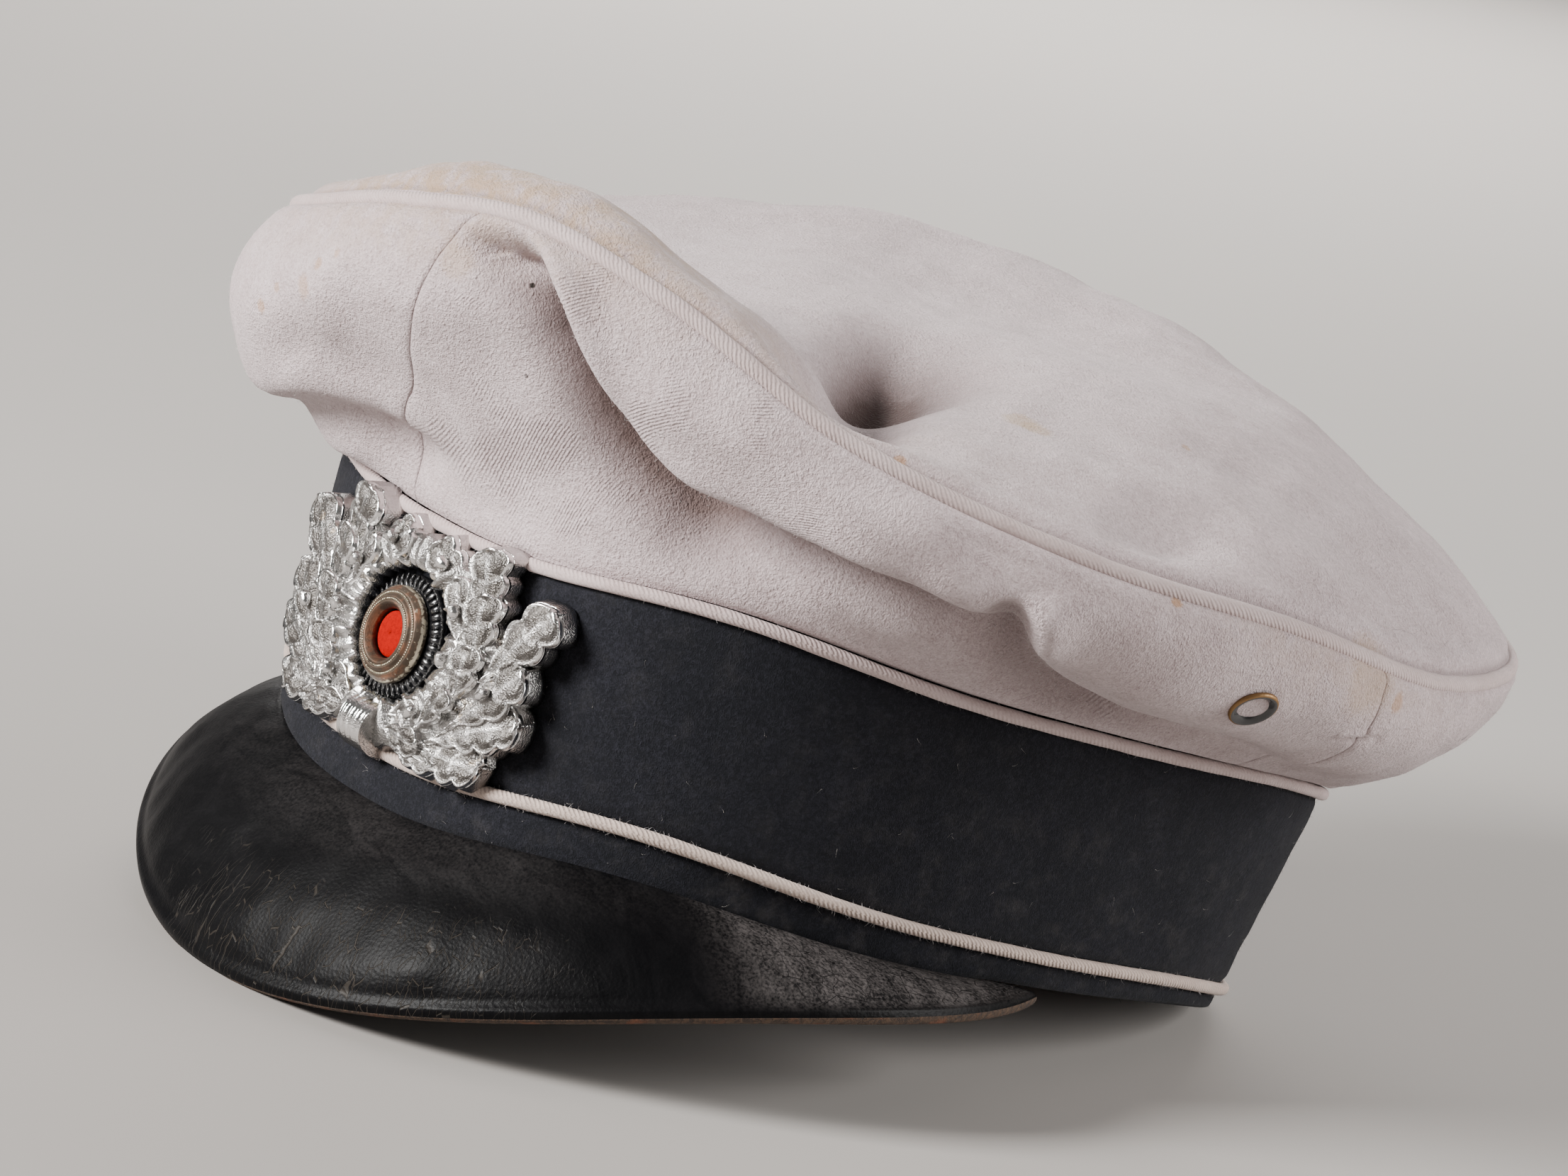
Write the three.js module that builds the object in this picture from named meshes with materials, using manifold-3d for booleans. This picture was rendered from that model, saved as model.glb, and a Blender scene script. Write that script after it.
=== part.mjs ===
// A peaked cap of pale wool with a black band, black leather peak, oak-leaf wreath and cockade.
// Millimetres, +Z up. The cap rests on the peak's front edge and on the back of its band.
// It is shaped upright first: -Y is the front, +X the wearer's left, and z = 0 the hem's front edge.
import * as THREE from 'three';
import { mergeVertices } from 'three/addons/utils/BufferGeometryUtils.js';
import Module from 'manifold-3d';

const wasm = await Module();
wasm.setup();

// Band, measured at the centres of its lower and upper cord
const BAND_LENGTH = 201;
const BAND_WIDTH = 170;
const BAND_SQUARENESS = 2.43;
const BAND_TOP_LENGTH = 203.5;
const BAND_TOP_WIDTH = 177;
const BAND_TOP_SQUARENESS = 2.64;
const BAND_EGG = -0.038;
const BAND_HEIGHT = 44.5;
const BAND_WALL = 2.2;

// Hem under the lower cord, deepest at the front
const HEM_FRONT_DEPTH = 9;
const HEM_BACK_DEPTH = 3.6;

// Cords and clearances
const CORD_DIAMETER = 2.6;
const RIM_CORD_DIAMETER = 3;
const GAP = 0.3;

// Crown
const CROWN_LENGTH = 272;
const CROWN_WIDTH = 244;
const CROWN_RISE = 50;
const CROWN_MIDDLE_RISE = 65;
const CLOTH = 1.6;
const SIDE_SEAM_TURN = 102;

// Peak
const PEAK_WIDTH = 200;
const PEAK_LENGTH = 128;
const PEAK_DROP = 45;
const PEAK_SWEEP = 121;
const PEAK_CROWNING = 5;
const PEAK_WALL = 2.6;

// Wreath and cockade, placed on the front of the band
const BADGE_TURN_OFFSET = 2.5;
const WREATH_HALF_WIDTH = 42;
const WREATH_HEIGHT = 47;
const WREATH_FOOT = 7.6;
const WREATH_DEPTH = 8;
const OPENING_HALF_WIDTH = 15.5;
const OPENING_HEIGHT = 26.5;
const OPENING_FOOT = 18.5;
const COCKADE_CENTRE = 31.3;
const COCKADE_BASE_RADIUS = 12.3;
const COCKADE_BASE_DEPTH = 3;
const COCKADE_RING_RADIUS = 9.6;
const COCKADE_RING_DEPTH = 3.4;
const FELT_RADIUS = 4.6;
const FELT_DEPTH = 1.6;
const COCKADE_FLUTES = 24;

// Vent eyelets
const EYELET_TURN = 89.5;
const EYELET_UP = 0.64;
const EYELET_RADIUS = 4.9;
const EYELET_BORE_RADIUS = 3;
const EYELET_RIM = 1;

// How far the resting edges are flattened where they touch the floor
const REST_FLAT = 0.6;

// Facets
const RING_STEPS = 56;
const CORD_SIDES = 6;
const WALL_ROWS = 10;
const TOP_RINGS = 7;
const PEAK_STEPS = 28;
const PEAK_ROWS = 4;

// The band's edge rises and falls round the head: shares of BAND_HEIGHT at 2 to 5 waves a turn
const BAND_WAVES = [
  { waves: 2, share: -0.059 },
  { waves: 3, share: -0.013 },
  { waves: 4, share: -0.0226 },
  { waves: 5, share: -0.0227 },
];

// Crown sections by turn from the front, positive to the wearer's left. rise, foot, hangOut and
// hangDown are shares of CROWN_RISE: the rim's height over the band, the length of the wall's first
// stretch, and how far the wall hangs out from and below the rim. lift is that first stretch's
// angle over level. dish and roll are shares too: the top's swell halfway in and next to the rim.
const SECTIONS = [
  { turn: -180, rise: 0.93, lift: 25, foot: 0.26, hangOut: 0.08, hangDown: 0.24, dish: 0.26, roll: 0.08 },
  { turn: -150, rise: 1.13, lift: 25, foot: 0.28, hangOut: 0.12, hangDown: 0.4, dish: 0.28, roll: 0.08 },
  { turn: -120, rise: 1.22, lift: 35, foot: 0.4, hangOut: 0.14, hangDown: 0.48, dish: 0.26, roll: 0.08 },
  { turn: -90, rise: 1.06, lift: 35, foot: 0.44, hangOut: 0.16, hangDown: 0.48, dish: 0.14, roll: 0.08 },
  { turn: -70, rise: 0.91, lift: 35, foot: 0.44, hangOut: 0.2, hangDown: 0.44, dish: 0, roll: 0.04 },
  { turn: -45, rise: 0.79, lift: 5, foot: 0.4, hangOut: 0.28, hangDown: 0.4, dish: -0.14, roll: 0.04 },
  { turn: -20, rise: 0.87, lift: -8, foot: 0.44, hangOut: 0.34, hangDown: 0.48, dish: -0.26, roll: 0.12 },
  { turn: 0, rise: 1.05, lift: 70, foot: 0.52, hangOut: 0.28, hangDown: 0.52, dish: -0.28, roll: 0.2 },
  { turn: 15, rise: 1.16, lift: 80, foot: 0.6, hangOut: 0.16, hangDown: 0.44, dish: -0.24, roll: 0.16 },
  { turn: 30, rise: 1.08, lift: 70, foot: 0.52, hangOut: 0.12, hangDown: 0.4, dish: -0.2, roll: 0.06 },
  { turn: 48, rise: 0.84, lift: 55, foot: 0.44, hangOut: 0.16, hangDown: 0.36, dish: -0.04, roll: 0.04 },
  { turn: 70, rise: 0.73, lift: 40, foot: 0.36, hangOut: 0.2, hangDown: 0.36, dish: 0.04, roll: 0.06 },
  { turn: 90, rise: 0.73, lift: 22, foot: 0.32, hangOut: 0.2, hangDown: 0.36, dish: 0.12, roll: 0.08 },
  { turn: 110, rise: 0.67, lift: 8, foot: 0.3, hangOut: 0.16, hangDown: 0.32, dish: 0.16, roll: 0.08 },
  { turn: 130, rise: 0.73, lift: 15, foot: 0.26, hangOut: 0.08, hangDown: 0.24, dish: 0.16, roll: 0.08 },
  { turn: 155, rise: 0.81, lift: 25, foot: 0.24, hangOut: 0.06, hangDown: 0.2, dish: 0.18, roll: 0.08 },
  { turn: 180, rise: 0.93, lift: 25, foot: 0.26, hangOut: 0.08, hangDown: 0.24, dish: 0.26, roll: 0.08 },
];

// The front seam leans with the crown: its turn by height in the wall, as a share
const FRONT_SEAM = [
  { up: 0, turn: -3.6 },
  { up: 0.2, turn: -2.4 },
  { up: 0.4, turn: 0.4 },
  { up: 0.7, turn: 4.9 },
  { up: 1, turn: 9.8 },
];

// The long fold in the left wall runs from the rim down and back: up is its height in the wall,
// depth and width are shares of CROWN_RISE and of the wall's height
const FOLD = [
  { turn: -180, up: 0.25, depth: 0, width: 0.12 },
  { turn: 8, up: 1, depth: 0, width: 0.12 },
  { turn: 16, up: 0.88, depth: 0.06, width: 0.1 },
  { turn: 21, up: 0.6, depth: 0.11, width: 0.13 },
  { turn: 28, up: 0.33, depth: 0.13, width: 0.13 },
  { turn: 42, up: 0.28, depth: 0.13, width: 0.13 },
  { turn: 58, up: 0.4, depth: 0.1, width: 0.13 },
  { turn: 72, up: 0.36, depth: 0.12, width: 0.12 },
  { turn: 84, up: 0.24, depth: 0.11, width: 0.12 },
  { turn: 100, up: 0.22, depth: 0.06, width: 0.12 },
  { turn: 125, up: 0.25, depth: 0, width: 0.12 },
  { turn: 180, up: 0.25, depth: 0, width: 0.12 },
];

// Dents in the top: across and along are shares of half CROWN_WIDTH and CROWN_LENGTH, heading turns
// the dent's long axis from +X, and reach, spread and depth are shares of CROWN_RISE
const DENTS = [
  { across: 0.56, along: -0.55, heading: 130, reach: 0.72, spread: 0.3, depth: 0.14 },
  { across: 0.2, along: -0.25, heading: 140, reach: 0.9, spread: 0.44, depth: 0.1 },
  { across: 0.88, along: -0.22, heading: 100, reach: 0.4, spread: 0.16, depth: 0.05 },
];

// One branch of the wreath, bottom to top. Bases and tips are measured sideways from its middle as
// shares of WREATH_HALF_WIDTH and up from its foot as shares of WREATH_HEIGHT; width and top are
// shares of WREATH_DEPTH, the leaf's breadth and how far it stands off the band.
const LEAVES = [
  { baseX: 0.16, baseUp: 0.12, tipX: 0.6, tipUp: 0.07, width: 0.9, top: 0.7 },
  { baseX: 0.14, baseUp: 0.15, tipX: 0.48, tipUp: 0.13, width: 1, top: 0.84 },
  { baseX: 0.16, baseUp: 0.19, tipX: 0.38, tipUp: 0.27, width: 0.8, top: 0.76 },
  { baseX: 0.42, baseUp: 0.14, tipX: 0.88, tipUp: 0.13, width: 1.5, top: 0.79 },
  { baseX: 0.5, baseUp: 0.16, tipX: 1, tipUp: 0.34, width: 1.6, top: 0.88 },
  { baseX: 0.42, baseUp: 0.18, tipX: 0.56, tipUp: 0.4, width: 1.2, top: 0.97 },
  { baseX: 0.6, baseUp: 0.24, tipX: 0.92, tipUp: 0.56, width: 1.6, top: 0.93 },
  { baseX: 0.58, baseUp: 0.32, tipX: 0.58, tipUp: 0.6, width: 1.3, top: 1 },
  { baseX: 0.68, baseUp: 0.46, tipX: 0.96, tipUp: 0.82, width: 1.8, top: 0.9 },
  { baseX: 0.6, baseUp: 0.5, tipX: 0.56, tipUp: 0.82, width: 1.4, top: 0.95 },
  { baseX: 0.49, baseUp: 0.54, tipX: 0.32, tipUp: 0.84, width: 1, top: 0.86 },
  { baseX: 0.54, baseUp: 0.68, tipX: 0.46, tipUp: 1, width: 1.6, top: 0.91 },
  { baseX: 0.36, baseUp: 0.8, tipX: 0.08, tipUp: 0.92, width: 1.3, top: 0.82 },
];

// Half an oak leaf's outline from stalk to tip: along and across as shares of its length and width
const LEAF_OUTLINE = [
  { along: 0, across: 0.14 },
  { along: 0.3, across: 0.42 },
  { along: 0.46, across: 0.24 },
  { along: 0.74, across: 0.48 },
  { along: 1, across: 0.16 },
];

const WOOL = new THREE.MeshStandardMaterial({ color: 0xcfc6c6, roughness: 0.95, metalness: 0 });
const CREAM = new THREE.MeshStandardMaterial({ color: 0xd6c9bf, roughness: 0.9, metalness: 0 });
const BLACK_WOOL = new THREE.MeshStandardMaterial({ color: 0x16171c, roughness: 0.95, metalness: 0 });
const LEATHER = new THREE.MeshStandardMaterial({ color: 0x141416, roughness: 0.45, metalness: 0 });
const ALUMINIUM = new THREE.MeshStandardMaterial({ color: 0xc2c4c8, roughness: 0.3, metalness: 1 });
const TARNISHED = new THREE.MeshStandardMaterial({ color: 0x6a6052, roughness: 0.5, metalness: 0.8 });
const LACQUER = new THREE.MeshStandardMaterial({ color: 0x08080a, roughness: 0.2, metalness: 0 });
const RED_FELT = new THREE.MeshStandardMaterial({ color: 0xc62318, roughness: 0.9, metalness: 0 });

const radians = THREE.MathUtils.degToRad;
const signedPower = (value, power) => Math.sign(value) * Math.abs(value) ** power;
const between = (a, b, share) => a + (b - a) * share;

/** Smooth value of one column of a table of rows by turn, from -180 to 180 degrees and round. */
function column(rows, name, turn) {
  const spans = rows.length - 1;
  const wrapped = THREE.MathUtils.euclideanModulo(turn + 180, 360) - 180;
  let i = 0;
  while (i < spans - 1 && rows[i + 1].turn <= wrapped) {
    i += 1;
  }
  const width = (k) => rows[((k + spans) % spans) + 1].turn - rows[(k + spans) % spans].turn;
  const slope = (k) => (rows[((k + spans) % spans) + 1][name] - rows[(k + spans) % spans][name]) / width(k);
  const tangent = (k) => (slope(k - 1) * width(k) + slope(k) * width(k - 1)) / (width(k - 1) + width(k));
  const h = width(i);
  const s = (wrapped - rows[i].turn) / h;
  const start = rows[i][name] * (1 + 2 * s) * (1 - s) ** 2;
  const finish = rows[i + 1][name] * s * s * (3 - 2 * s);
  return start + finish + h * (tangent(i) * s * (1 - s) ** 2 - tangent(i + 1) * s * s * (1 - s));
}

/** Level direction straight out of the band at a turn. */
function outward(turn) {
  const t = radians(turn);
  return new THREE.Vector3(Math.sin(t) * BAND_LENGTH, -Math.cos(t) * BAND_WIDTH, 0).normalize();
}

/** Rise and fall of the band's edges at a turn. */
function bandWave(turn) {
  return BAND_WAVES.reduce((sum, w) => sum + w.share * BAND_HEIGHT * Math.cos(w.waves * radians(turn)), 0);
}

/** Point on the band at a turn, a height over the hem's front edge, and a distance off its face. */
function onBand(turn, height, off = 0) {
  const c = Math.cos(radians(turn));
  const s = Math.sin(radians(turn));
  const share = (height - HEM_FRONT_DEPTH) / BAND_HEIGHT;
  const oval = (length, width, squareness) => new THREE.Vector3(
    (width / 2) * signedPower(s, 2 / squareness) * (1 - BAND_EGG * c),
    (-length / 2) * signedPower(c, 2 / squareness),
    height + bandWave(turn),
  );
  const low = oval(BAND_LENGTH, BAND_WIDTH, BAND_SQUARENESS);
  const high = oval(BAND_TOP_LENGTH, BAND_TOP_WIDTH, BAND_TOP_SQUARENESS);
  return low.lerp(high, share).addScaledVector(outward(turn), off);
}

const meanOf = (name) => {
  const turns = Array.from({ length: 36 }, (_, i) => i * 10);
  return turns.reduce((sum, turn) => sum + column(SECTIONS, name, turn), 0) / turns.length;
};
const MEAN_RISE = meanOf('rise');
const MEAN_DISH = meanOf('dish');
const CORD_RADIUS = CORD_DIAMETER / 2;
const BAND_TOP = HEM_FRONT_DEPTH + BAND_HEIGHT;
const CROWN_FOOT = BAND_TOP + CORD_RADIUS + GAP;

/** Centre of the rim's welt at a turn. */
function rimPoint(turn) {
  const t = radians(turn);
  const height = BAND_TOP + column(SECTIONS, 'rise', turn) * CROWN_RISE;
  return new THREE.Vector3((CROWN_WIDTH / 2) * Math.sin(t), (-CROWN_LENGTH / 2) * Math.cos(t), height);
}

/** The crown's wall before folds, from the band (up = 0) to just under the rim's welt (up = 1). */
function plainWall(turn, up) {
  const level = outward(turn);
  const lift = radians(column(SECTIONS, 'lift', turn));
  const foot = column(SECTIONS, 'foot', turn) * CROWN_RISE;
  const start = onBand(turn, CROWN_FOOT);
  const rim = rimPoint(turn);
  const first = start.clone().addScaledVector(level, foot * Math.cos(lift));
  first.z += foot * Math.sin(lift);
  const last = rim.clone().addScaledVector(level, column(SECTIONS, 'hangOut', turn) * CROWN_RISE);
  last.z -= column(SECTIONS, 'hangDown', turn) * CROWN_RISE;
  const seat = RIM_CORD_DIAMETER / 2 + GAP;
  const end = rim.clone().addScaledVector(last.clone().sub(rim).normalize(), seat);
  return new THREE.CubicBezierCurve3(start, first, last, end).getPoint(up);
}

/** Outward normal of a surface given as a function of two values. */
function normalOf(surface, a, b, stepA, stepB) {
  const alongA = surface(a + stepA, b).sub(surface(a - stepA, b));
  const alongB = surface(a, b + stepB).sub(surface(a, b - stepB));
  return alongA.cross(alongB).normalize();
}

/** The crown's wall with its folds, offset inward by a depth. */
function wallPoint(turn, up, depth = 0) {
  const normal = normalOf(plainWall, turn, THREE.MathUtils.clamp(up, 0.01, 0.99), 0.5, 0.01);
  const reach = (up - column(FOLD, 'up', turn)) / column(FOLD, 'width', turn);
  const ends = THREE.MathUtils.smoothstep(up, 0, 0.12) * (1 - THREE.MathUtils.smoothstep(up, 0.88, 1));
  const fold = Math.max(column(FOLD, 'depth', turn), 0) * CROWN_RISE * Math.exp(-reach * reach) * ends;
  return plainWall(turn, up).addScaledVector(normal, -fold - depth);
}

/** The crown's top by turn and by share of the way from its middle (0) to the rim (1). */
function topPoint(turn, out) {
  const rim = rimPoint(turn);
  const local = THREE.MathUtils.smoothstep(out, 0, 0.6);
  const dish = 16 * between(MEAN_DISH, column(SECTIONS, 'dish', turn), local) * out ** 2 * (1 - out) ** 2;
  const roll = 17.6 * column(SECTIONS, 'roll', turn) * out ** 6 * (1 - out);
  const edge = between(BAND_TOP + MEAN_RISE * CROWN_RISE, rim.z, local);
  const middle = BAND_TOP + CROWN_MIDDLE_RISE;
  const point = new THREE.Vector3(rim.x * out, rim.y * out, between(middle, edge, out * out));
  point.z += (dish + roll) * CROWN_RISE;
  for (const dent of DENTS) {
    const across = (point.x - (dent.across * CROWN_WIDTH) / 2) / CROWN_RISE;
    const along = (point.y - (dent.along * CROWN_LENGTH) / 2) / CROWN_RISE;
    const heading = radians(dent.heading);
    const long = (across * Math.cos(heading) + along * Math.sin(heading)) / dent.reach;
    const wide = (along * Math.cos(heading) - across * Math.sin(heading)) / dent.spread;
    const hold = 1 - THREE.MathUtils.smoothstep(out, 0.9, 1);
    point.z -= dent.depth * CROWN_RISE * Math.exp(-long * long - wide * wide) * hold;
  }
  return point;
}

/** Closed mesh from a list of points and faces, with every edge shared. */
function meshFrom(points, faces) {
  const geometry = new THREE.BufferGeometry();
  geometry.setAttribute('position', new THREE.Float32BufferAttribute(points.flatMap((p) => p.toArray()), 3));
  geometry.setIndex(faces.flat());
  return geometry;
}

/** Solid skinned over a row of closed sections, joined end to start when it is a ring. */
function skin(sections, ring) {
  const size = sections[0].length;
  const rows = sections.length;
  const faces = [];
  const at = (i, j) => (i % rows) * size + (j % size);
  for (let i = 0; i < (ring ? rows : rows - 1); i += 1) {
    for (let j = 0; j < size; j += 1) {
      faces.push([at(i, j), at(i + 1, j), at(i + 1, j + 1)], [at(i, j), at(i + 1, j + 1), at(i, j + 1)]);
    }
  }
  if (!ring) {
    for (let j = 0; j < size / 2 - 1; j += 1) {
      const k = size - 1 - j;
      faces.push([at(0, j), at(0, j + 1), at(0, k - 1)], [at(0, j), at(0, k - 1), at(0, k)]);
      const e = rows - 1;
      faces.push([at(e, j), at(e, k - 1), at(e, j + 1)], [at(e, j), at(e, k), at(e, k - 1)]);
    }
  }
  return meshFrom(sections.flat(), faces);
}

/** Solid ring of upright wall between two heights given by turn, its face a distance off the band's. */
function wallRing(lowAt, highAt, wall, off = 0) {
  const sections = [];
  for (let i = 0; i < RING_STEPS; i += 1) {
    const turn = (360 * i) / RING_STEPS;
    const low = lowAt(turn);
    const high = highAt(turn);
    sections.push([
      onBand(turn, low, off), onBand(turn, high, off),
      onBand(turn, high, off - wall), onBand(turn, low, off - wall),
    ]);
  }
  return skin(sections, true);
}

/** Solid cord running round the cap through the centres given by turn. */
function cordRing(centreAt, radius) {
  const sections = [];
  for (let i = 0; i < RING_STEPS; i += 1) {
    const turn = (360 * i) / RING_STEPS;
    const centre = centreAt(turn);
    const ahead = centreAt(turn + 1).sub(centreAt(turn - 1)).normalize();
    const side = new THREE.Vector3(0, 0, 1).cross(ahead).normalize().negate();
    const up = ahead.clone().cross(side).negate();
    sections.push(Array.from({ length: CORD_SIDES }, (_, j) => {
      const a = (2 * Math.PI * (j + 0.5)) / CORD_SIDES;
      return centre.clone()
        .addScaledVector(side, radius * Math.cos(a))
        .addScaledVector(up, radius * Math.sin(a));
    }));
  }
  return skin(sections, true);
}

/** Turn of the leaning front seam at a height in the wall. */
function frontSeam(up) {
  const k = Math.min(FRONT_SEAM.findLastIndex((row) => row.up <= up), FRONT_SEAM.length - 2);
  const [low, high] = [FRONT_SEAM[k], FRONT_SEAM[k + 1]];
  return between(low.turn, high.turn, (up - low.up) / (high.up - low.up));
}

/** One panel of the crown's wall between two seams, each given as its turn by height in the wall. */
function wallPanel(fromSeam, toSeam) {
  const steps = Math.round((RING_STEPS * (toSeam(1) - fromSeam(1))) / 360);
  const inset = (0.6 * GAP / (CROWN_WIDTH / 2)) * THREE.MathUtils.RAD2DEG;
  const rows = Array.from({ length: WALL_ROWS + 1 }, (_, j) => j / WALL_ROWS);
  const sections = [];
  for (let i = 0; i <= steps; i += 1) {
    const turnAt = (up) => between(fromSeam(up) + inset, toSeam(up) - inset, i / steps);
    const outer = rows.map((up) => wallPoint(turnAt(up), up));
    const inner = rows.map((up) => wallPoint(turnAt(up), up, CLOTH)).reverse();
    sections.push([...outer, ...inner]);
  }
  return skin(sections, false);
}

/** The crown's top: an outer and an inner dished disc joined by a strip under the welt. */
function crownTop() {
  const inset = RIM_CORD_DIAMETER / 2 + GAP;
  const limit = 1 - inset / (CROWN_WIDTH / 2);
  const points = [];
  const faces = [];
  for (const depth of [0, CLOTH]) {
    const first = points.length;
    points.push(topPoint(0, 0).add(new THREE.Vector3(0, 0, -depth)));
    for (let k = 1; k <= TOP_RINGS; k += 1) {
      const out = limit * (k / TOP_RINGS) ** 0.8;
      for (let i = 0; i < RING_STEPS; i += 1) {
        const turn = (360 * i) / RING_STEPS;
        const normal = normalOf(topPoint, turn, out, 0.5, 0.004).negate();
        points.push(topPoint(turn, out).addScaledVector(normal, -depth));
      }
    }
    const at = (k, i) => first + 1 + (k - 1) * RING_STEPS + (i % RING_STEPS);
    const face = depth === 0 ? (a, b, c) => faces.push([a, b, c]) : (a, b, c) => faces.push([a, c, b]);
    for (let i = 0; i < RING_STEPS; i += 1) {
      face(first, at(1, i), at(1, i + 1));
      for (let k = 1; k < TOP_RINGS; k += 1) {
        face(at(k, i), at(k + 1, i), at(k + 1, i + 1));
        face(at(k, i), at(k + 1, i + 1), at(k, i + 1));
      }
    }
  }
  const under = points.length / 2;
  const edge = (i) => 1 + (TOP_RINGS - 1) * RING_STEPS + (i % RING_STEPS);
  for (let i = 0; i < RING_STEPS; i += 1) {
    faces.push([edge(i), under + edge(i), under + edge(i + 1)], [edge(i), under + edge(i + 1), edge(i + 1)]);
  }
  return meshFrom(points, faces);
}

/** Depth of the hem under the lower cord's centre. */
function hemDepth(turn) {
  const mean = (HEM_FRONT_DEPTH + HEM_BACK_DEPTH) / 2;
  return mean + ((HEM_FRONT_DEPTH - HEM_BACK_DEPTH) / 2) * Math.cos(radians(turn));
}

/** Free edge of the peak, share running from -1 at its right end to 1 at its left. */
function peakEdge(share) {
  const a = radians(share * PEAK_SWEEP);
  const reach = PEAK_LENGTH / (1 - Math.cos(radians(PEAK_SWEEP)));
  const back = PEAK_LENGTH - reach;
  const drop = 0.2 + 0.597 * Math.cos(a) + 0.132 * Math.cos(2 * a) + 0.071 * Math.cos(3 * a);
  const y = -(back + reach * Math.cos(a)) + PEAK_BACK;
  return new THREE.Vector3((PEAK_WIDTH / 2) * Math.sin(a), y, -PEAK_DROP * drop);
}

// The peak's ends lie under the widest part of the band, its length running forward from there
const PEAK_BACK = onBand(90, HEM_FRONT_DEPTH).y + HEM_FRONT_DEPTH - 1.5;

/** The peak's upper face from the hem (out = 0) to its free edge (out = 1). */
function peakPoint(share, out) {
  const turn = share * 88;
  const seam = onBand(turn, HEM_FRONT_DEPTH - hemDepth(turn) - 2 * GAP, -GAP);
  const edge = peakEdge(share);
  const middle = seam.clone().lerp(edge, 0.5);
  const slope = edge.clone().sub(seam);
  const swell = new THREE.Vector3(0, 0, 1).cross(slope).cross(slope).normalize().negate();
  const size = Math.min(1, slope.length() / PEAK_DROP) ** 2;
  middle.addScaledVector(swell, 2 * PEAK_CROWNING * size);
  return new THREE.QuadraticBezierCurve3(seam, middle, edge).getPoint(out);
}

/** The leather peak. */
function peak() {
  const sections = [];
  for (let i = 0; i <= PEAK_STEPS; i += 1) {
    const share = between(-0.985, 0.985, i / PEAK_STEPS);
    const rows = Array.from({ length: PEAK_ROWS + 1 }, (_, j) => j / PEAK_ROWS);
    const upper = rows.map((out) => peakPoint(share, out));
    const lower = rows.map((out) => {
      const normal = normalOf(peakPoint, share, THREE.MathUtils.clamp(out, 0.01, 0.99), 0.01, 0.01);
      return peakPoint(share, out).addScaledVector(normal, PEAK_WALL);
    });
    sections.push([...upper.reverse(), ...lower]);
  }
  return skin(sections, false);
}

/** A closed geometry as a solid for joins and cuts. */
function solid(geometry) {
  const bare = geometry.clone();
  bare.deleteAttribute('normal');
  bare.deleteAttribute('uv');
  const merged = mergeVertices(bare, 1e-4);
  const vertProperties = new Float32Array(merged.attributes.position.array);
  const triVerts = new Uint32Array(merged.index.array);
  return new wasm.Manifold(new wasm.Mesh({ numProp: 3, vertProperties, triVerts }));
}

/** The geometry of a solid. */
function geometryOf(body) {
  const mesh = body.getMesh();
  const geometry = new THREE.BufferGeometry();
  const positions = [];
  for (let i = 0; i < mesh.vertProperties.length; i += mesh.numProp) {
    positions.push(mesh.vertProperties[i], mesh.vertProperties[i + 1], mesh.vertProperties[i + 2]);
  }
  geometry.setAttribute('position', new THREE.Float32BufferAttribute(positions, 3));
  geometry.setIndex(Array.from(mesh.triVerts));
  return geometry;
}

/** Turn at which a distance along the band's front, measured from its middle, is reached. */
function turnAlong(distance) {
  const step = 0.25;
  const sign = Math.sign(distance);
  let turn = 0;
  let walked = 0;
  let here = onBand(0, COCKADE_CENTRE, WREATH_DEPTH);
  while (walked < Math.abs(distance)) {
    const next = onBand(sign * (turn + step), COCKADE_CENTRE, WREATH_DEPTH);
    const length = next.distanceTo(here);
    if (walked + length > Math.abs(distance)) {
      return sign * (turn + (step * (Math.abs(distance) - walked)) / length);
    }
    walked += length;
    turn += step;
    here = next;
  }
  return sign * turn;
}

/** Point of the badge: sideways from its middle, up the band, and off its face. */
function onBadge(sideways, height, off) {
  return onBand(turnAlong(BADGE_TURN_OFFSET + sideways), height, off);
}

/** Prism over an outline of badge points, from well behind the band's face to a depth before it. */
function badgePrism(outline, top) {
  const flat = outline.map(([x, up]) => new THREE.Vector2(x, up));
  const points = [-0.5 * WREATH_DEPTH, top].flatMap((off) => outline.map(([x, up]) => onBadge(x, up, off)));
  const size = outline.length;
  const faces = [];
  for (const [a, b, c] of THREE.ShapeUtils.triangulateShape(flat, [])) {
    faces.push([a, c, b], [a + size, b + size, c + size]);
  }
  for (let i = 0; i < size; i += 1) {
    const j = (i + 1) % size;
    faces.push([i, j, j + size], [i, j + size, i + size]);
  }
  return solid(meshFrom(points, faces));
}

/** Outline of one oak leaf of the wreath, on the wearer's left (side 1) or right (side -1). */
function leafOutline(leaf, side) {
  const base = new THREE.Vector2(leaf.baseX * WREATH_HALF_WIDTH, leaf.baseUp * WREATH_HEIGHT);
  const tip = new THREE.Vector2(leaf.tipX * WREATH_HALF_WIDTH, leaf.tipUp * WREATH_HEIGHT);
  const along = tip.clone().sub(base);
  const across = new THREE.Vector2(-along.y, along.x).normalize().multiplyScalar(leaf.width * WREATH_DEPTH);
  const place = (row, hand) => {
    const point = base.clone().addScaledVector(along, row.along).addScaledVector(across, hand * row.across);
    return [side * point.x, WREATH_FOOT + point.y];
  };
  const left = LEAF_OUTLINE.map((row) => place(row, 1));
  const right = LEAF_OUTLINE.map((row) => place(row, -1)).reverse();
  return side > 0 ? [...right, ...left].reverse() : [...right, ...left];
}

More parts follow.
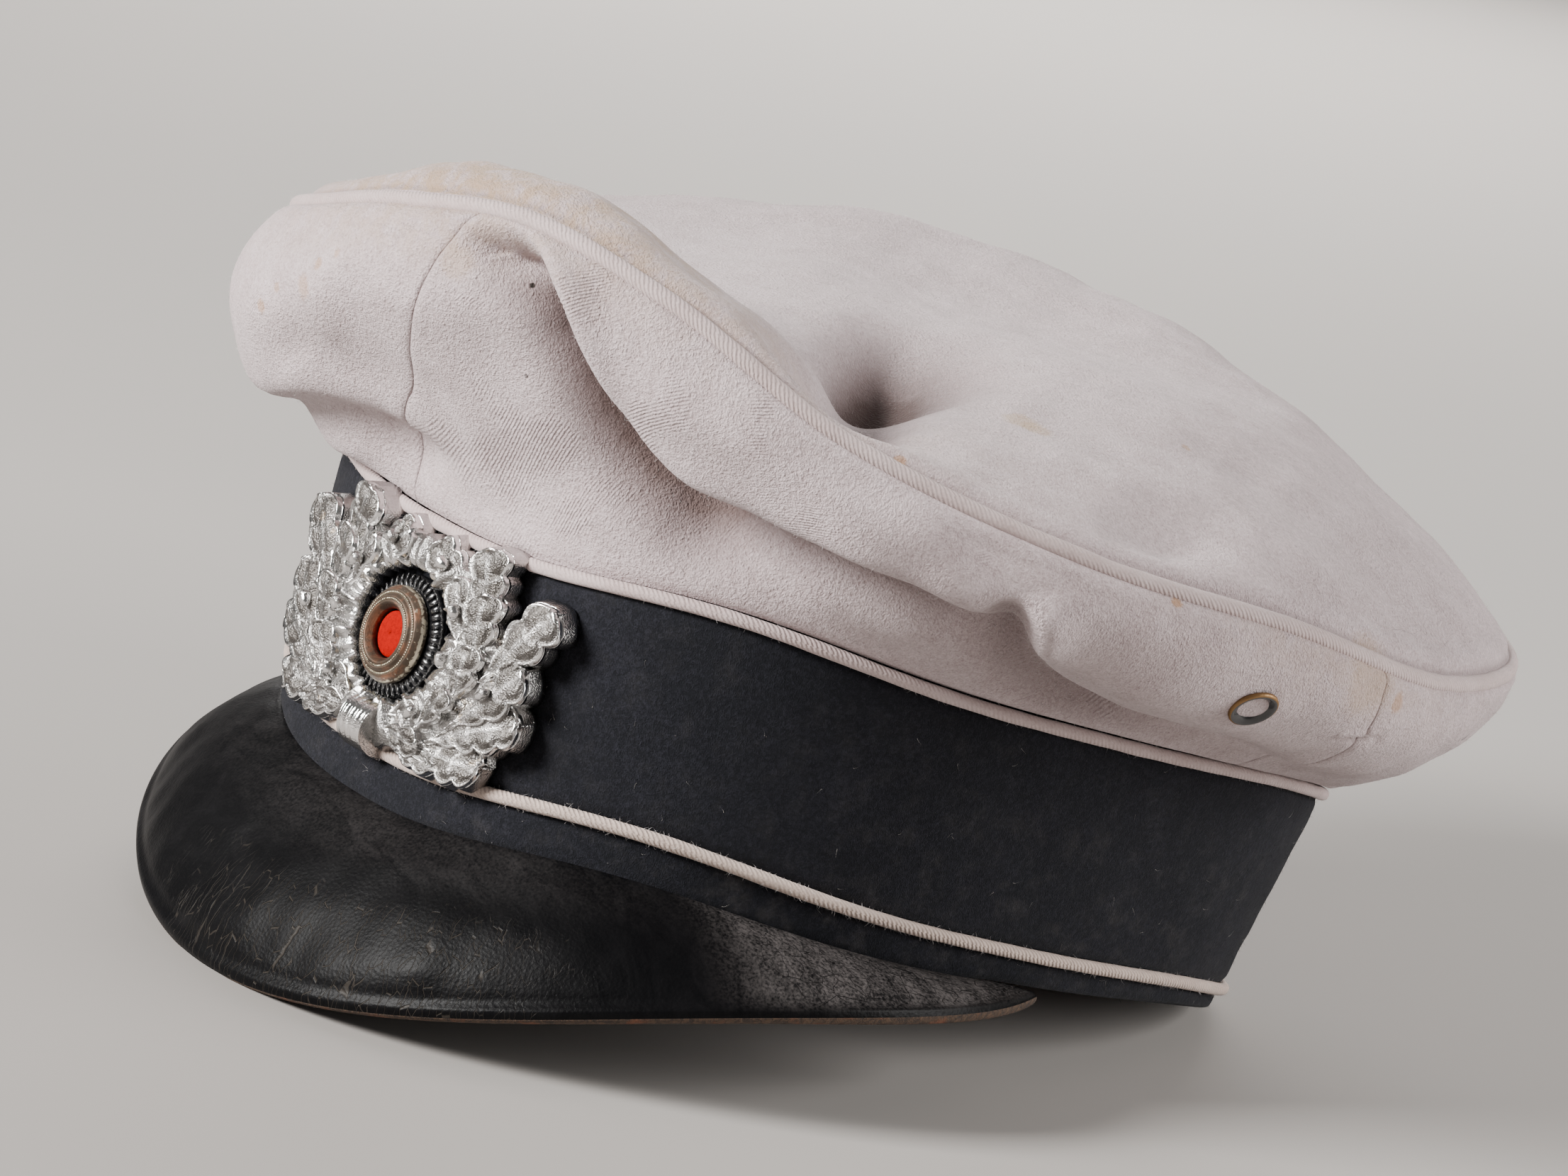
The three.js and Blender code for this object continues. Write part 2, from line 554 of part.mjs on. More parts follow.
/** The wreath's ground: a low oval ring that all the leaves stand on. */
function wreathGround() {
  const steps = 32;
  const middleUp = OPENING_FOOT + OPENING_HEIGHT / 2;
  const rings = [];
  for (let i = 0; i < steps; i += 1) {
    const a = (2 * Math.PI * i) / steps;
    const inner = [OPENING_HALF_WIDTH * Math.cos(a), middleUp + (OPENING_HEIGHT / 2) * Math.sin(a)];
    const reach = 1 - 0.28 * Math.max(Math.sin(a), 0);
    const outer = [
      inner[0] + 0.3 * WREATH_HALF_WIDTH * Math.cos(a) * reach,
      inner[1] + 0.17 * WREATH_HEIGHT * Math.sin(a) * reach,
    ];
    const back = -0.6 * WREATH_DEPTH;
    const front = 0.5 * WREATH_DEPTH;
    rings.push([
      onBadge(...outer, back), onBadge(...outer, front), onBadge(...inner, front), onBadge(...inner, back),
    ]);
  }
  return solid(skin(rings, true));
}

/** The wreath: leaves, ground and binding as one casting, its back cut to the band and the cords. */
function wreath() {
  let body = wreathGround();
  for (const side of [1, -1]) {
    for (const leaf of LEAVES) {
      const top = leaf.top - (side < 0 ? 0.015 : 0);
      body = body.add(badgePrism(leafOutline(leaf, side), top * WREATH_DEPTH));
    }
  }
  const half = 0.1 * WREATH_HALF_WIDTH;
  const foot = WREATH_FOOT;
  const head = OPENING_FOOT;
  body = body.add(badgePrism([[-half, foot], [half, foot], [half, head], [-half, head]], 0.97 * WREATH_DEPTH));
  const low = WREATH_FOOT - WREATH_HEIGHT;
  const high = WREATH_FOOT + 2 * WREATH_HEIGHT;
  body = body.subtract(solid(wallRing(() => low, () => high, 2 * WREATH_DEPTH, 2 * GAP)));
  for (const height of [HEM_FRONT_DEPTH, BAND_TOP]) {
    body = body.subtract(solid(cordRing((turn) => onBand(turn, height), CORD_RADIUS + 2 * GAP)));
  }
  return geometryOf(body);
}

/** Places a shape turned about its own axis flat on the band's face at the cockade's centre. */
function onCockade(geometry, off) {
  const centre = onBadge(0, COCKADE_CENTRE, 0);
  const ahead = onBadge(1, COCKADE_CENTRE, 0).sub(onBadge(-1, COCKADE_CENTRE, 0)).normalize();
  const up = onBadge(0, COCKADE_CENTRE + 1, 0).sub(onBadge(0, COCKADE_CENTRE - 1, 0)).normalize();
  const out = ahead.clone().cross(up).normalize();
  const basis = new THREE.Matrix4().makeBasis(ahead, up, out);
  basis.setPosition(centre.addScaledVector(out, off));
  return geometry.applyMatrix4(basis);
}

/** The cockade's black base: a disc with a fluted edge. */
function cockadeBase() {
  const outline = new THREE.Shape();
  const points = COCKADE_FLUTES * 2;
  for (let i = 0; i < points; i += 1) {
    const radius = COCKADE_BASE_RADIUS - (i % 2) * 0.05 * COCKADE_BASE_RADIUS;
    const a = (2 * Math.PI * i) / points;
    const [x, y] = [radius * Math.cos(a), radius * Math.sin(a)];
    if (i === 0) {
      outline.moveTo(x, y);
    } else {
      outline.lineTo(x, y);
    }
  }
  outline.closePath();
  return new THREE.ExtrudeGeometry(outline, { depth: COCKADE_BASE_DEPTH, bevelEnabled: false });
}

/** A turned ring or disc from a profile of radius and height pairs. */
function turned(profile, sides) {
  const points = profile.map(([radius, height]) => new THREE.Vector2(radius, height));
  return new THREE.LatheGeometry(points, sides).rotateX(Math.PI / 2);
}

/** The cockade's stepped metal ring, with a seat for the felt. */
function cockadeRing() {
  const r = COCKADE_RING_RADIUS;
  const h = COCKADE_RING_DEPTH;
  const bore = FELT_RADIUS + GAP;
  const step = 0.35 * h;
  return turned([
    [bore, 0], [r, 0], [r, 0.4 * h], [0.88 * r, 0.75 * h], [0.78 * r, 0.75 * h],
    [0.72 * r, h], [0.62 * r, h], [bore, h - step], [bore, 0],
  ], 28);
}

/** The cockade's domed felt centre. */
function cockadeFelt() {
  const r = FELT_RADIUS;
  return turned([[0, 0], [r, 0], [r, 0.7 * FELT_DEPTH], [0.6 * r, FELT_DEPTH], [0, FELT_DEPTH]], 20);
}

/** Frame standing on the crown's wall at the eyelet, its third axis pointing out. */
function eyeletFrame(side) {
  const turn = side * EYELET_TURN;
  const out = normalOf((a, b) => wallPoint(a, b), turn, EYELET_UP, 1.5, 0.03);
  const up = wallPoint(turn, EYELET_UP + 0.05).sub(wallPoint(turn, EYELET_UP - 0.05)).normalize();
  const ahead = up.clone().cross(out).normalize();
  const frame = new THREE.Matrix4().makeBasis(ahead, out.clone().cross(ahead), out);
  return frame.setPosition(wallPoint(turn, EYELET_UP, CLOTH / 2));
}

/** A flanged eyelet through the crown's wall. */
function eyelet(side) {
  const reach = CLOTH / 2 + 3.5 * GAP;
  const barrel = EYELET_BORE_RADIUS + EYELET_RIM;
  return turned([
    [EYELET_BORE_RADIUS, -reach - EYELET_RIM], [EYELET_RADIUS, -reach - EYELET_RIM],
    [EYELET_RADIUS, -reach], [barrel, -reach], [barrel, reach], [EYELET_RADIUS, reach],
    [EYELET_RADIUS - EYELET_RIM / 2, reach + EYELET_RIM], [EYELET_BORE_RADIUS, reach],
    [EYELET_BORE_RADIUS, -reach - EYELET_RIM],
  ], 16).applyMatrix4(eyeletFrame(side));
}

/** A crown panel with the hole that its eyelet's barrel passes through. */
function piercedPanel(fromSeam, toSeam, side) {
  const radius = EYELET_BORE_RADIUS + EYELET_RIM + GAP;
  const hole = new THREE.CylinderGeometry(radius, radius, 12 * CLOTH, 16).rotateX(Math.PI / 2);
  hole.applyMatrix4(eyeletFrame(side));
  return geometryOf(solid(wallPanel(fromSeam, toSeam)).subtract(solid(hole)));
}

const bandLow = HEM_FRONT_DEPTH + CORD_RADIUS + GAP;
const bandHigh = BAND_TOP - CORD_RADIUS - GAP;
const hemHigh = HEM_FRONT_DEPTH - CORD_RADIUS - GAP;
const cockadeSeat = 2 * GAP;
const ringSeat = cockadeSeat + COCKADE_BASE_DEPTH + GAP;

const PIECES = [
  ['crown_top', crownTop(), WOOL],
  ['crown_side_left', piercedPanel(frontSeam, () => SIDE_SEAM_TURN, 1), WOOL],
  ['crown_side_right', piercedPanel(() => -SIDE_SEAM_TURN, frontSeam, -1), WOOL],
  ['crown_side_back', wallPanel(() => SIDE_SEAM_TURN, () => 360 - SIDE_SEAM_TURN), WOOL],
  ['crown_piping', cordRing(rimPoint, RIM_CORD_DIAMETER / 2), CREAM],
  ['band_piping_upper', cordRing((turn) => onBand(turn, BAND_TOP), CORD_RADIUS), CREAM],
  ['band', wallRing(() => bandLow, () => bandHigh, BAND_WALL), BLACK_WOOL],
  ['band_piping_lower', cordRing((turn) => onBand(turn, HEM_FRONT_DEPTH), CORD_RADIUS), CREAM],
  ['band_hem', wallRing((turn) => HEM_FRONT_DEPTH - hemDepth(turn), () => hemHigh, BAND_WALL), BLACK_WOOL],
  ['peak', peak(), LEATHER],
  ['wreath', wreath(), ALUMINIUM],
  ['cockade_base', onCockade(cockadeBase(), cockadeSeat), LACQUER],
  ['cockade_ring', onCockade(cockadeRing(), ringSeat), TARNISHED],
  ['cockade_felt', onCockade(cockadeFelt(), ringSeat), RED_FELT],
  ['vent_eyelet_left', eyelet(1), LACQUER],
  ['vent_eyelet_right', eyelet(-1), LACQUER],
];

/** Box round a geometry. */
function boxOf(geometry) {
  return new THREE.Box3().setFromBufferAttribute(geometry.attributes.position);
}

// At rest the cap tips back until the peak's front edge and the hem's back edge are level
const geometryNamed = (name) => PIECES.find((piece) => piece[0] === name)[1];
const turnAll = (angle) => PIECES.forEach(([, geometry]) => geometry.rotateX(angle));
for (let pass = 0; pass < 4; pass += 1) {
  const front = boxOf(geometryNamed('peak')).min;
  const hem = boxOf(geometryNamed('band_hem'));
  turnAll(-Math.atan2(hem.min.z - front.z, hem.max.y - front.y));
}
const box = PIECES.reduce((all, [, geometry]) => all.union(boxOf(geometry)), new THREE.Box3());
const centre = box.getCenter(new THREE.Vector3());
PIECES.forEach(([, geometry]) => geometry.translate(-centre.x, -centre.y, -box.min.z - REST_FLAT));

/** Flattens what rests on the floor. */
function settled(geometry) {
  const { min, max } = boxOf(geometry);
  if (min.z >= 0) {
    return geometry;
  }
  const size = max.clone().sub(min);
  const floor = new THREE.BoxGeometry(2 * CROWN_LENGTH, 2 * CROWN_LENGTH, size.z);
  floor.translate(0, 0, -size.z / 2);
  return geometryOf(solid(geometry).subtract(solid(floor)));
}

const cap = new THREE.Group();
cap.name = 'peaked_cap';
for (const [name, geometry, material] of PIECES) {
  const mesh = new THREE.Mesh(settled(geometry), material);
  mesh.name = name;
  cap.add(mesh);
}

export default cap;
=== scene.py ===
"""A worn peaked cap: pale wool crown, black band, leather peak, cast oak-leaf wreath and cockade."""
import logging
import math
from dataclasses import dataclass, field
from enum import Enum
from typing import Any, Callable, Sequence

import bpy
import numpy as np
from mathutils import Matrix, Vector


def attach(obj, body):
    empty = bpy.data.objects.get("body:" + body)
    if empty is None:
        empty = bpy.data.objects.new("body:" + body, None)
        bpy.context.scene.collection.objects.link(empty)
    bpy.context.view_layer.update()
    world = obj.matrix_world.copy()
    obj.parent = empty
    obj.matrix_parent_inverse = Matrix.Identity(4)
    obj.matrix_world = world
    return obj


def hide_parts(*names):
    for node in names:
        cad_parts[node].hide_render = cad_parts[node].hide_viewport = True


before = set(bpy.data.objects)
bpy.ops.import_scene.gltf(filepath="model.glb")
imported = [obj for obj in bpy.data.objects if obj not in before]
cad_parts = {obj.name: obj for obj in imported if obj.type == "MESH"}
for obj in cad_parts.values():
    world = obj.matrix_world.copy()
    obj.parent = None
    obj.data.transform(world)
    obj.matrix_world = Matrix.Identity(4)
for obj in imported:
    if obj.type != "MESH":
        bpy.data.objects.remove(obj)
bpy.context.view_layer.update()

LOG = logging.getLogger("peaked_cap")
MM = 0.001
# How strongly rows of faces draw together at a sheet's edges, from 0 to just under 1.
SQUEEZE = 0.8
# The crown's wall, in mm: its run for a degree of turn, and its usual height.
WALL_RUN = 2.15
WALL_TALL = 52.0
# The rounded edge of a sheet of cloth stands this far past its faces, in mm.
CLOTH_EDGE = 0.28


def smooth(value: Any, low: float, high: float) -> Any:
    """0 below low, 1 above high, and an S-curve between them."""
    share = np.clip((np.asarray(value, float) - low) / (high - low), 0.0, 1.0)
    return share * share * (3.0 - 2.0 * share)


def hump(distance: Any, width: float) -> Any:
    """1 at no distance, fading evenly on both sides over about a width."""
    return np.exp(-np.square(np.asarray(distance, float) / width))


def unit(vectors: np.ndarray) -> np.ndarray:
    """Vectors of the last axis, each made one long."""
    return vectors / np.maximum(np.linalg.norm(vectors, axis=-1, keepdims=True), 1e-12)


def ripple(points: np.ndarray, wavelength: float, seed: int) -> np.ndarray:
    """A soft unevenness between about -1 and 1 over points in mm.

    Args:
        points: places, with x, y and z on the last axis.
        wavelength: the unevenness's usual length in mm.
        seed: fixes its form.

    Returns:
        One value for each point.
    """
    rng = np.random.default_rng(seed)
    total = np.zeros(points.shape[:-1])
    for _ in range(7):
        heading = unit(rng.normal(size=3)) * 2.0 * math.pi / (wavelength * rng.uniform(0.7, 1.6))
        total += np.sin(points @ heading + rng.uniform(0.0, 6.28))
    return total / 3.2


def surface_normal(
    surface: Callable[..., np.ndarray], a: Any, b: Any, step_a: float, step_b: float
) -> np.ndarray:
    """Normals of a surface given as a function of two values.

    Args:
        surface: gives points from two arrays of values.
        a: first values.
        b: second values.
        step_a: half the span over which the slope along a is taken.
        step_b: the same along b.

    Returns:
        Unit normals, along a crossed with b.
    """
    along_a = surface(a + step_a, b) - surface(a - step_a, b)
    along_b = surface(a, b + step_b) - surface(a, b - step_b)
    return unit(np.cross(along_a, along_b))


@dataclass(frozen=True)
class Rest:
    """How the cap, shaped upright, tips back on to the surface that it is put down on."""

    pitch: float = 12.541158
    shift: tuple[float, float, float] = (-0.33681, -14.25119, 17.92338)

    def turn(self, vectors: np.ndarray) -> np.ndarray:
        """Directions of the upright cap as directions at rest."""
        c, s = math.cos(math.radians(self.pitch)), math.sin(math.radians(self.pitch))
        x, y, z = vectors[..., 0], vectors[..., 1], vectors[..., 2]
        return np.stack([x, y * c + z * s, z * c - y * s], axis=-1)

    def place(self, points: np.ndarray) -> np.ndarray:
        """Points of the upright cap in mm as points at rest in metres, none under the floor."""
        placed = (self.turn(points) + np.array(self.shift)) * MM
        placed[..., 2] = np.maximum(placed[..., 2], 0.0)
        return placed


REST = Rest()


@dataclass(frozen=True)
class RoundTable:
    """Values given at some turns round the cap and smooth between them."""

    names: tuple[str, ...]
    rows: tuple[tuple[float, ...], ...]

    def value(self, name: str, turn: Any) -> np.ndarray:
        """One column's value.

        Args:
            name: the column.
            turn: degrees from the front, positive to the wearer's left.

        Returns:
            The values at those turns.
        """
        table = np.array(self.rows)
        knots, levels = table[:, 0], table[:, 1 + self.names.index(name)]
        wrapped = (np.asarray(turn, float) + 180.0) % 360.0 - 180.0
        i = np.clip(np.searchsorted(knots, wrapped, side="right") - 1, 0, len(knots) - 2)
        width = np.diff(knots)
        slope = np.diff(levels) / width
        last_width, last_slope = np.roll(width, 1), np.roll(slope, 1)
        tangent = (last_slope * width + slope * last_width) / (last_width + width)
        s = (wrapped - knots[i]) / width[i]
        start = levels[i] * (1 + 2 * s) * (1 - s) ** 2
        finish = levels[i + 1] * s * s * (3 - 2 * s)
        pull = tangent[i] * s * (1 - s) ** 2 - np.roll(tangent, -1)[i] * s * s * (1 - s)
        return start + finish + width[i] * pull


@dataclass
class Shell:
    """Points, faces and values gathered for one mesh, in mm of the upright cap."""

    points: list[np.ndarray] = field(default_factory=list)
    faces: list[list[int]] = field(default_factory=list)
    corners: list[np.ndarray] = field(default_factory=list)
    slots: list[int] = field(default_factory=list)
    values: dict[str, dict[int, np.ndarray]] = field(default_factory=dict)
    count: int = 0

    def add_points(self, points: np.ndarray, **values: np.ndarray) -> int:
        """Adds points with values of their own.

        Args:
            points: places, with x, y and z on the last axis.
            values: values for each point, or one for all, by name.

        Returns:
            The number of the first point.
        """
        first = self.count
        flat = points.reshape(-1, 3)
        self.points.append(flat)
        self.count += len(flat)
        for name, value in values.items():
            self.values.setdefault(name, {})[first] = np.broadcast_to(value, points.shape[:-1]).reshape(-1)
        return first

    def add_faces(self, faces: np.ndarray, corners: np.ndarray | None = None) -> None:
        """Adds faces of one size.

        Args:
            faces: point numbers, one row a face.
            corners: each corner's place on the cloth in mm, or nothing.
        """
        self.faces.extend(faces.tolist())
        blank = np.zeros((faces.shape[0] * faces.shape[1], 2))
        self.corners.append(blank if corners is None else corners.reshape(-1, 2))
        self.slots.extend([0] * len(faces))

    def add_grid(
        self, points: np.ndarray, ring: bool = False, tube: bool = False, flip: bool = False,
        along: np.ndarray | None = None, across: np.ndarray | None = None,
        slot_of: np.ndarray | None = None, **values: np.ndarray,
    ) -> int:
        """Adds a sheet of rows of points.

        Args:
            points: rows by columns by 3.
            ring: whether the last row joins the first.
            tube: whether the last column joins the first.
            flip: whether the faces look the other way.
            along: the rows' place on the cloth in mm, one more than the rows in a ring.
            across: the columns' place on the cloth in mm, one more than the columns in a tube.
            slot_of: material slot of each column of faces, the first one if not given.
            values: values for each point.

        Returns:
            The number of the first point.
        """
        rows, columns = points.shape[:2]
        first = self.add_points(points, **values)
        i, j = np.meshgrid(np.arange(rows if ring else rows - 1), np.arange(columns if tube else columns - 1),
                           indexing="ij")
        i, j = i.ravel(), j.ravel()
        order = [(0, 0), (1, 0), (1, 1), (0, 1)]
        if flip:
            order.reverse()
        faces = np.stack([first + ((i + a) % rows) * columns + (j + b) % columns for a, b in order], axis=1)
        along = np.arange(rows + 1.0) if along is None else along
        across = np.arange(columns + 1.0) if across is None else across
        corners = np.stack([np.stack([along[i + a], across[j + b]], axis=-1) for a, b in order], axis=1)
        self.add_faces(faces, corners)
        if slot_of is not None:
            self.slots[-len(faces):] = slot_of[j].tolist()
        return first

    def build(self, name: str, materials: Sequence[bpy.types.Material]) -> bpy.types.Object:
        """Makes the mesh object, laid at rest.

        Args:
            name: the object's name.
            materials: its material slots.

        Returns:
            The object, at the origin, smooth shaded.
        """
        points = np.concatenate(self.points)
        mesh = bpy.data.meshes.new(name)
        mesh.from_pydata(REST.place(points).tolist(), [], self.faces)
        layer = mesh.uv_layers.new(name="cloth")
        layer.data.foreach_set("uv", (np.concatenate(self.corners) * MM).astype(np.float32).ravel())
        mesh.polygons.foreach_set("material_index", self.slots)
        mesh.polygons.foreach_set("use_smooth", [True] * len(mesh.polygons))
        for value_name, parts in self.values.items():
            full = np.zeros(len(points), np.float32)
            for first, part in parts.items():
                full[first:first + len(part)] = part
            mesh.attributes.new(value_name, "FLOAT", "POINT").data.foreach_set("value", full)
        mesh.update()
        made = bpy.data.objects.new(name, mesh)
        bpy.context.collection.objects.link(made)
        for material in materials:
            made.data.materials.append(material)
        return made


def spaced(count: int, both: bool = True) -> np.ndarray:
    """Shares from 0 to 1 in so many steps, closer together at both ends, or only at 1."""
    t = np.linspace(0.0, 1.0, count + 1)
    if both:
        return t - SQUEEZE * np.sin(2 * math.pi * t) / (2 * math.pi)
    return t + SQUEEZE * np.sin(math.pi * t) / math.pi


def rounded_edge(outer: np.ndarray, inner: np.ndarray, row: int, inside: int, reach: float) -> np.ndarray:
    """A rounded edge between a wall's two faces, four points a section.

    Args:
        outer: outer face, sections by rows by 3.
        inner: inner face, of the same shape.
        row: the row at the edge.
        inside: the row next to it.
        reach: how far the edge stands out, in mm.

    Returns:
        The edge's points, sections by 4 by 3.
    """
    middle = (outer[:, row] + inner[:, row]) / 2
    half = (outer[:, row] - inner[:, row]) / 2
    ahead = unit(outer[:, row] - outer[:, inside])
    angles = np.radians([30.0, 65.0, 115.0, 150.0])
    return np.stack([middle + half * math.cos(a) + ahead * reach * math.sin(a) for a in angles], axis=1)


def add_wall(
    shell: Shell, outer: np.ndarray, inner: np.ndarray, reach: float, ring: bool,
    along: np.ndarray, across: np.ndarray, thin: int = 1, **values: np.ndarray,
) -> None:
    """Adds a closed wall of cloth or leather with rounded edges.

    Args:
        shell: the mesh that it joins.
        outer: outer face, sections by rows by 3.
        inner: inner face, of the same shape.
        reach: how far the rounded edges stand past the faces, in mm.
        ring: whether the last section joins the first.
        along: the sections' place on the cloth in mm, one more than the sections in a ring.
        across: the rows' place on the cloth in mm.
        thin: the inner face keeps one row in so many.
        values: values for each point of the outer face; the inner face gets zeros.
    """
    sections, rows = outer.shape[:2]
    kept = np.arange(0, rows, thin)
    back = len(kept)
    head = rounded_edge(outer, inner, -1, -2, reach)
    foot = rounded_edge(outer, inner, 0, 1, reach)[:, ::-1]
    loop = np.concatenate([outer, head, inner[:, kept][:, ::-1], foot], axis=1)
    past = across[-1] + reach * np.array([0.3, 0.8, 1.0, 1.2])
    under = across[0] - reach * np.array([1.2, 1.0, 0.8, 0.3])
    places = np.concatenate([across, past, across[kept][::-1], under, across[:1]])
    full = {}
    for name, value in {"air": 1.0, **values}.items():
        front = np.broadcast_to(value, (sections, rows))
        head_value, foot_value = np.repeat(front[:, -1:], 4, 1), np.repeat(front[:, :1], 4, 1)
        full[name] = np.concatenate([front, head_value, np.zeros((sections, back)), foot_value], axis=1)
    first = shell.add_grid(loop, ring=ring, tube=True, along=along, across=places, **full)
    if ring:
        return
    size = loop.shape[1]
    for section, turned in ((0, True), (sections - 1, False)):
        start = first + section * size
        parts = [
            np.r_[kept[m]:kept[m + 1] + 1, rows + 2 + back - m, rows + 3 + back - m] for m in range(back - 1)]
        parts += [np.arange(rows - 1, rows + 5), np.r_[rows + 3 + back:size, 0]]
        for part in parts:
            cap = (start + part)[None, :]
            shell.add_faces(cap if turned else cap[:, ::-1])


@dataclass
class Wire:
    """The output of a node, used in sums like a number."""

    plan: "Plan"
    socket: Any

    def __add__(self, other: Any) -> "Wire":
        """Sum."""
        return self.plan.math("ADD", self, other)

    def __radd__(self, other: Any) -> "Wire":
        """Sum, the other way round."""
        return self.plan.math("ADD", other, self)

    def __sub__(self, other: Any) -> "Wire":
        """Difference."""
        return self.plan.math("SUBTRACT", self, other)

    def __rsub__(self, other: Any) -> "Wire":
        """Difference, the other way round."""
        return self.plan.math("SUBTRACT", other, self)

    def __mul__(self, other: Any) -> "Wire":
        """Product."""
        return self.plan.math("MULTIPLY", self, other)

    def __rmul__(self, other: Any) -> "Wire":
        """Product, the other way round."""
        return self.plan.math("MULTIPLY", other, self)

    def __truediv__(self, other: Any) -> "Wire":
        """Quotient."""
        return self.plan.math("DIVIDE", self, other)

    def __rtruediv__(self, other: Any) -> "Wire":
        """Quotient, the other way round."""
        return self.plan.math("DIVIDE", other, self)

    def held(self) -> "Wire":
        """The value kept between 0 and 1."""
        return self.plan.math("ADD", self, 0.0, clamp=True)


@dataclass
class Plan:
    """A node tree being drawn up."""

    tree: Any

    def node(self, kind: str, inputs: dict[Any, Any] | None = None, **settings: Any) -> Any:
        """Adds a node.

        Args:
            kind: its type.
            inputs: values or wires by input name or number.
            settings: its own settings.

        Returns:
            The node.
        """
        made = self.tree.nodes.new(kind)
        for name, value in settings.items():
            setattr(made, name, value)
        for key, value in (inputs or {}).items():
            self.feed(made.inputs[key], value)
        return made

    def feed(self, socket: Any, value: Any) -> None:
        """Links a wire to a socket, or sets its value."""
        if isinstance(value, Wire):
            self.tree.links.new(value.socket, socket)
        else:
            socket.default_value = value

    def wire(self, kind: str, output: Any, inputs: dict[Any, Any] | None = None, **settings: Any) -> Wire:
        """Adds a node and gives one of its outputs."""
        return Wire(self, self.node(kind, inputs, **settings).outputs[output])

    def math(self, operation: str, a: Any, b: Any = 0.0, clamp: bool = False) -> Wire:
        """Adds a sum of two values."""
        return self.wire("ShaderNodeMath", 0, {0: a, 1: b}, operation=operation, use_clamp=clamp)

    def step(self, value: Any, low: float, high: float) -> Wire:
        """0 below low and 1 above high, smooth between them."""
        return self.wire("ShaderNodeMapRange", "Result", {"Value": value, "From Min": low, "From Max": high},
                         interpolation_type="SMOOTHSTEP")

    def blend(self, share: Any, first: Any, second: Any) -> Wire:
        """Mixes two colours by a share.

        Args:
            share: how much of the second colour.
            first: a colour.
            second: another.

        Returns:
            The mixed colour.
        """
        made = self.node("ShaderNodeMix", data_type="RGBA", blend_type="MIX")
        for number, value in ((0, share), (6, first), (7, second)):
            self.feed(made.inputs[number], value)
        return Wire(self, made.outputs[2])

    def vector(self, operation: str, a: Any, b: Any = (0.0, 0.0, 0.0), output: int = 0) -> Wire:
        """Adds a sum of two vectors."""
        return self.wire("ShaderNodeVectorMath", output, {0: a, 1: b}, operation=operation)

    def noise(
        self, place: Wire, size: float, detail: float = 2.0, roughness: float = 0.5, bend: float = 0.0
    ) -> Wire:
        """Cloudy noise from 0 to 1.

        Args:
            place: where it is read.
            size: its grains in mm.
            detail: how many finer layers it has.
            roughness: how strong those are.
            bend: how far it is distorted.

        Returns:
            The noise.
        """
        return self.wire("ShaderNodeTexNoise", 0, {
            "Vector": place, "Scale": 1.0 / (size * MM), "Detail": detail, "Roughness": roughness,
            "Distortion": bend})

    def cells(self, place: Wire, size: float, feature: str = "F1") -> Wire:
        """Distances in a pattern of cells of a size in mm."""
        inputs = {"Vector": place, "Scale": 1.0 / (size * MM)}
        return self.wire("ShaderNodeTexVoronoi", "Distance", inputs, feature=feature)

    def ribs(self, place: Wire, pitch: float, bend: float) -> Wire:
        """Parallel ribs with a pitch in mm, somewhat uneven."""
        return self.wire("ShaderNodeTexWave", "Fac", {
            "Vector": place, "Scale": 100.0 * math.pi / pitch, "Distortion": bend, "Detail": 2.0,
            "Detail Scale": 1.5})

    def place(self) -> Wire:
        """Place on the object at rest, in metres."""
        return self.wire("ShaderNodeTexCoord", "Object")

    def cloth(self) -> Wire:
        """Place along and across the cloth, in metres."""
        return self.wire("ShaderNodeUVMap", 0, uv_map="cloth")

    def value(self, name: str) -> Wire:
        """A value stored on the mesh."""
        return self.wire("ShaderNodeAttribute", "Fac", attribute_name=name)

    def scaled(self, place: Wire, scale: tuple[float, float, float], turn: float = 0.0) -> Wire:
        """A place stretched along its axes and turned about the third."""
        return self.wire("ShaderNodeMapping", 0, {
            "Vector": place, "Scale": scale, "Rotation": (0.0, 0.0, math.radians(turn))})

    def relief(self, height: Wire, depth: float) -> Wire:
        """Normals of a relief whose height runs from 0 to 1 over a depth in mm."""
        return self.wire("ShaderNodeBump", 0, {"Height": height, "Distance": depth * MM, "Strength": 1.0})


Colour = tuple[float, float, float]


def rgba(colour: Colour) -> tuple[float, float, float, float]:
    """A colour with full cover."""
    return (*colour, 1.0)


class Mark(Enum):
    """What a small mark on the cloth is; SHADE is painted shade, and HOLE is the painted dark inside a pin
    hole.
    """

    TAN = (0.42, 0.28, 0.155)
    RUST = (0.42, 0.22, 0.09)
    SHADE = (0.17, 0.14, 0.14)
    HOLE = (0.03, 0.024, 0.02)


@dataclass(frozen=True)
class Spot:
    """A small mark on the crown: on its wall (by turn and up) or its top (by turn and out)."""

    on_top: bool
    turn: float
    reach: float
    radius: float
    strength: float
    mark: Mark


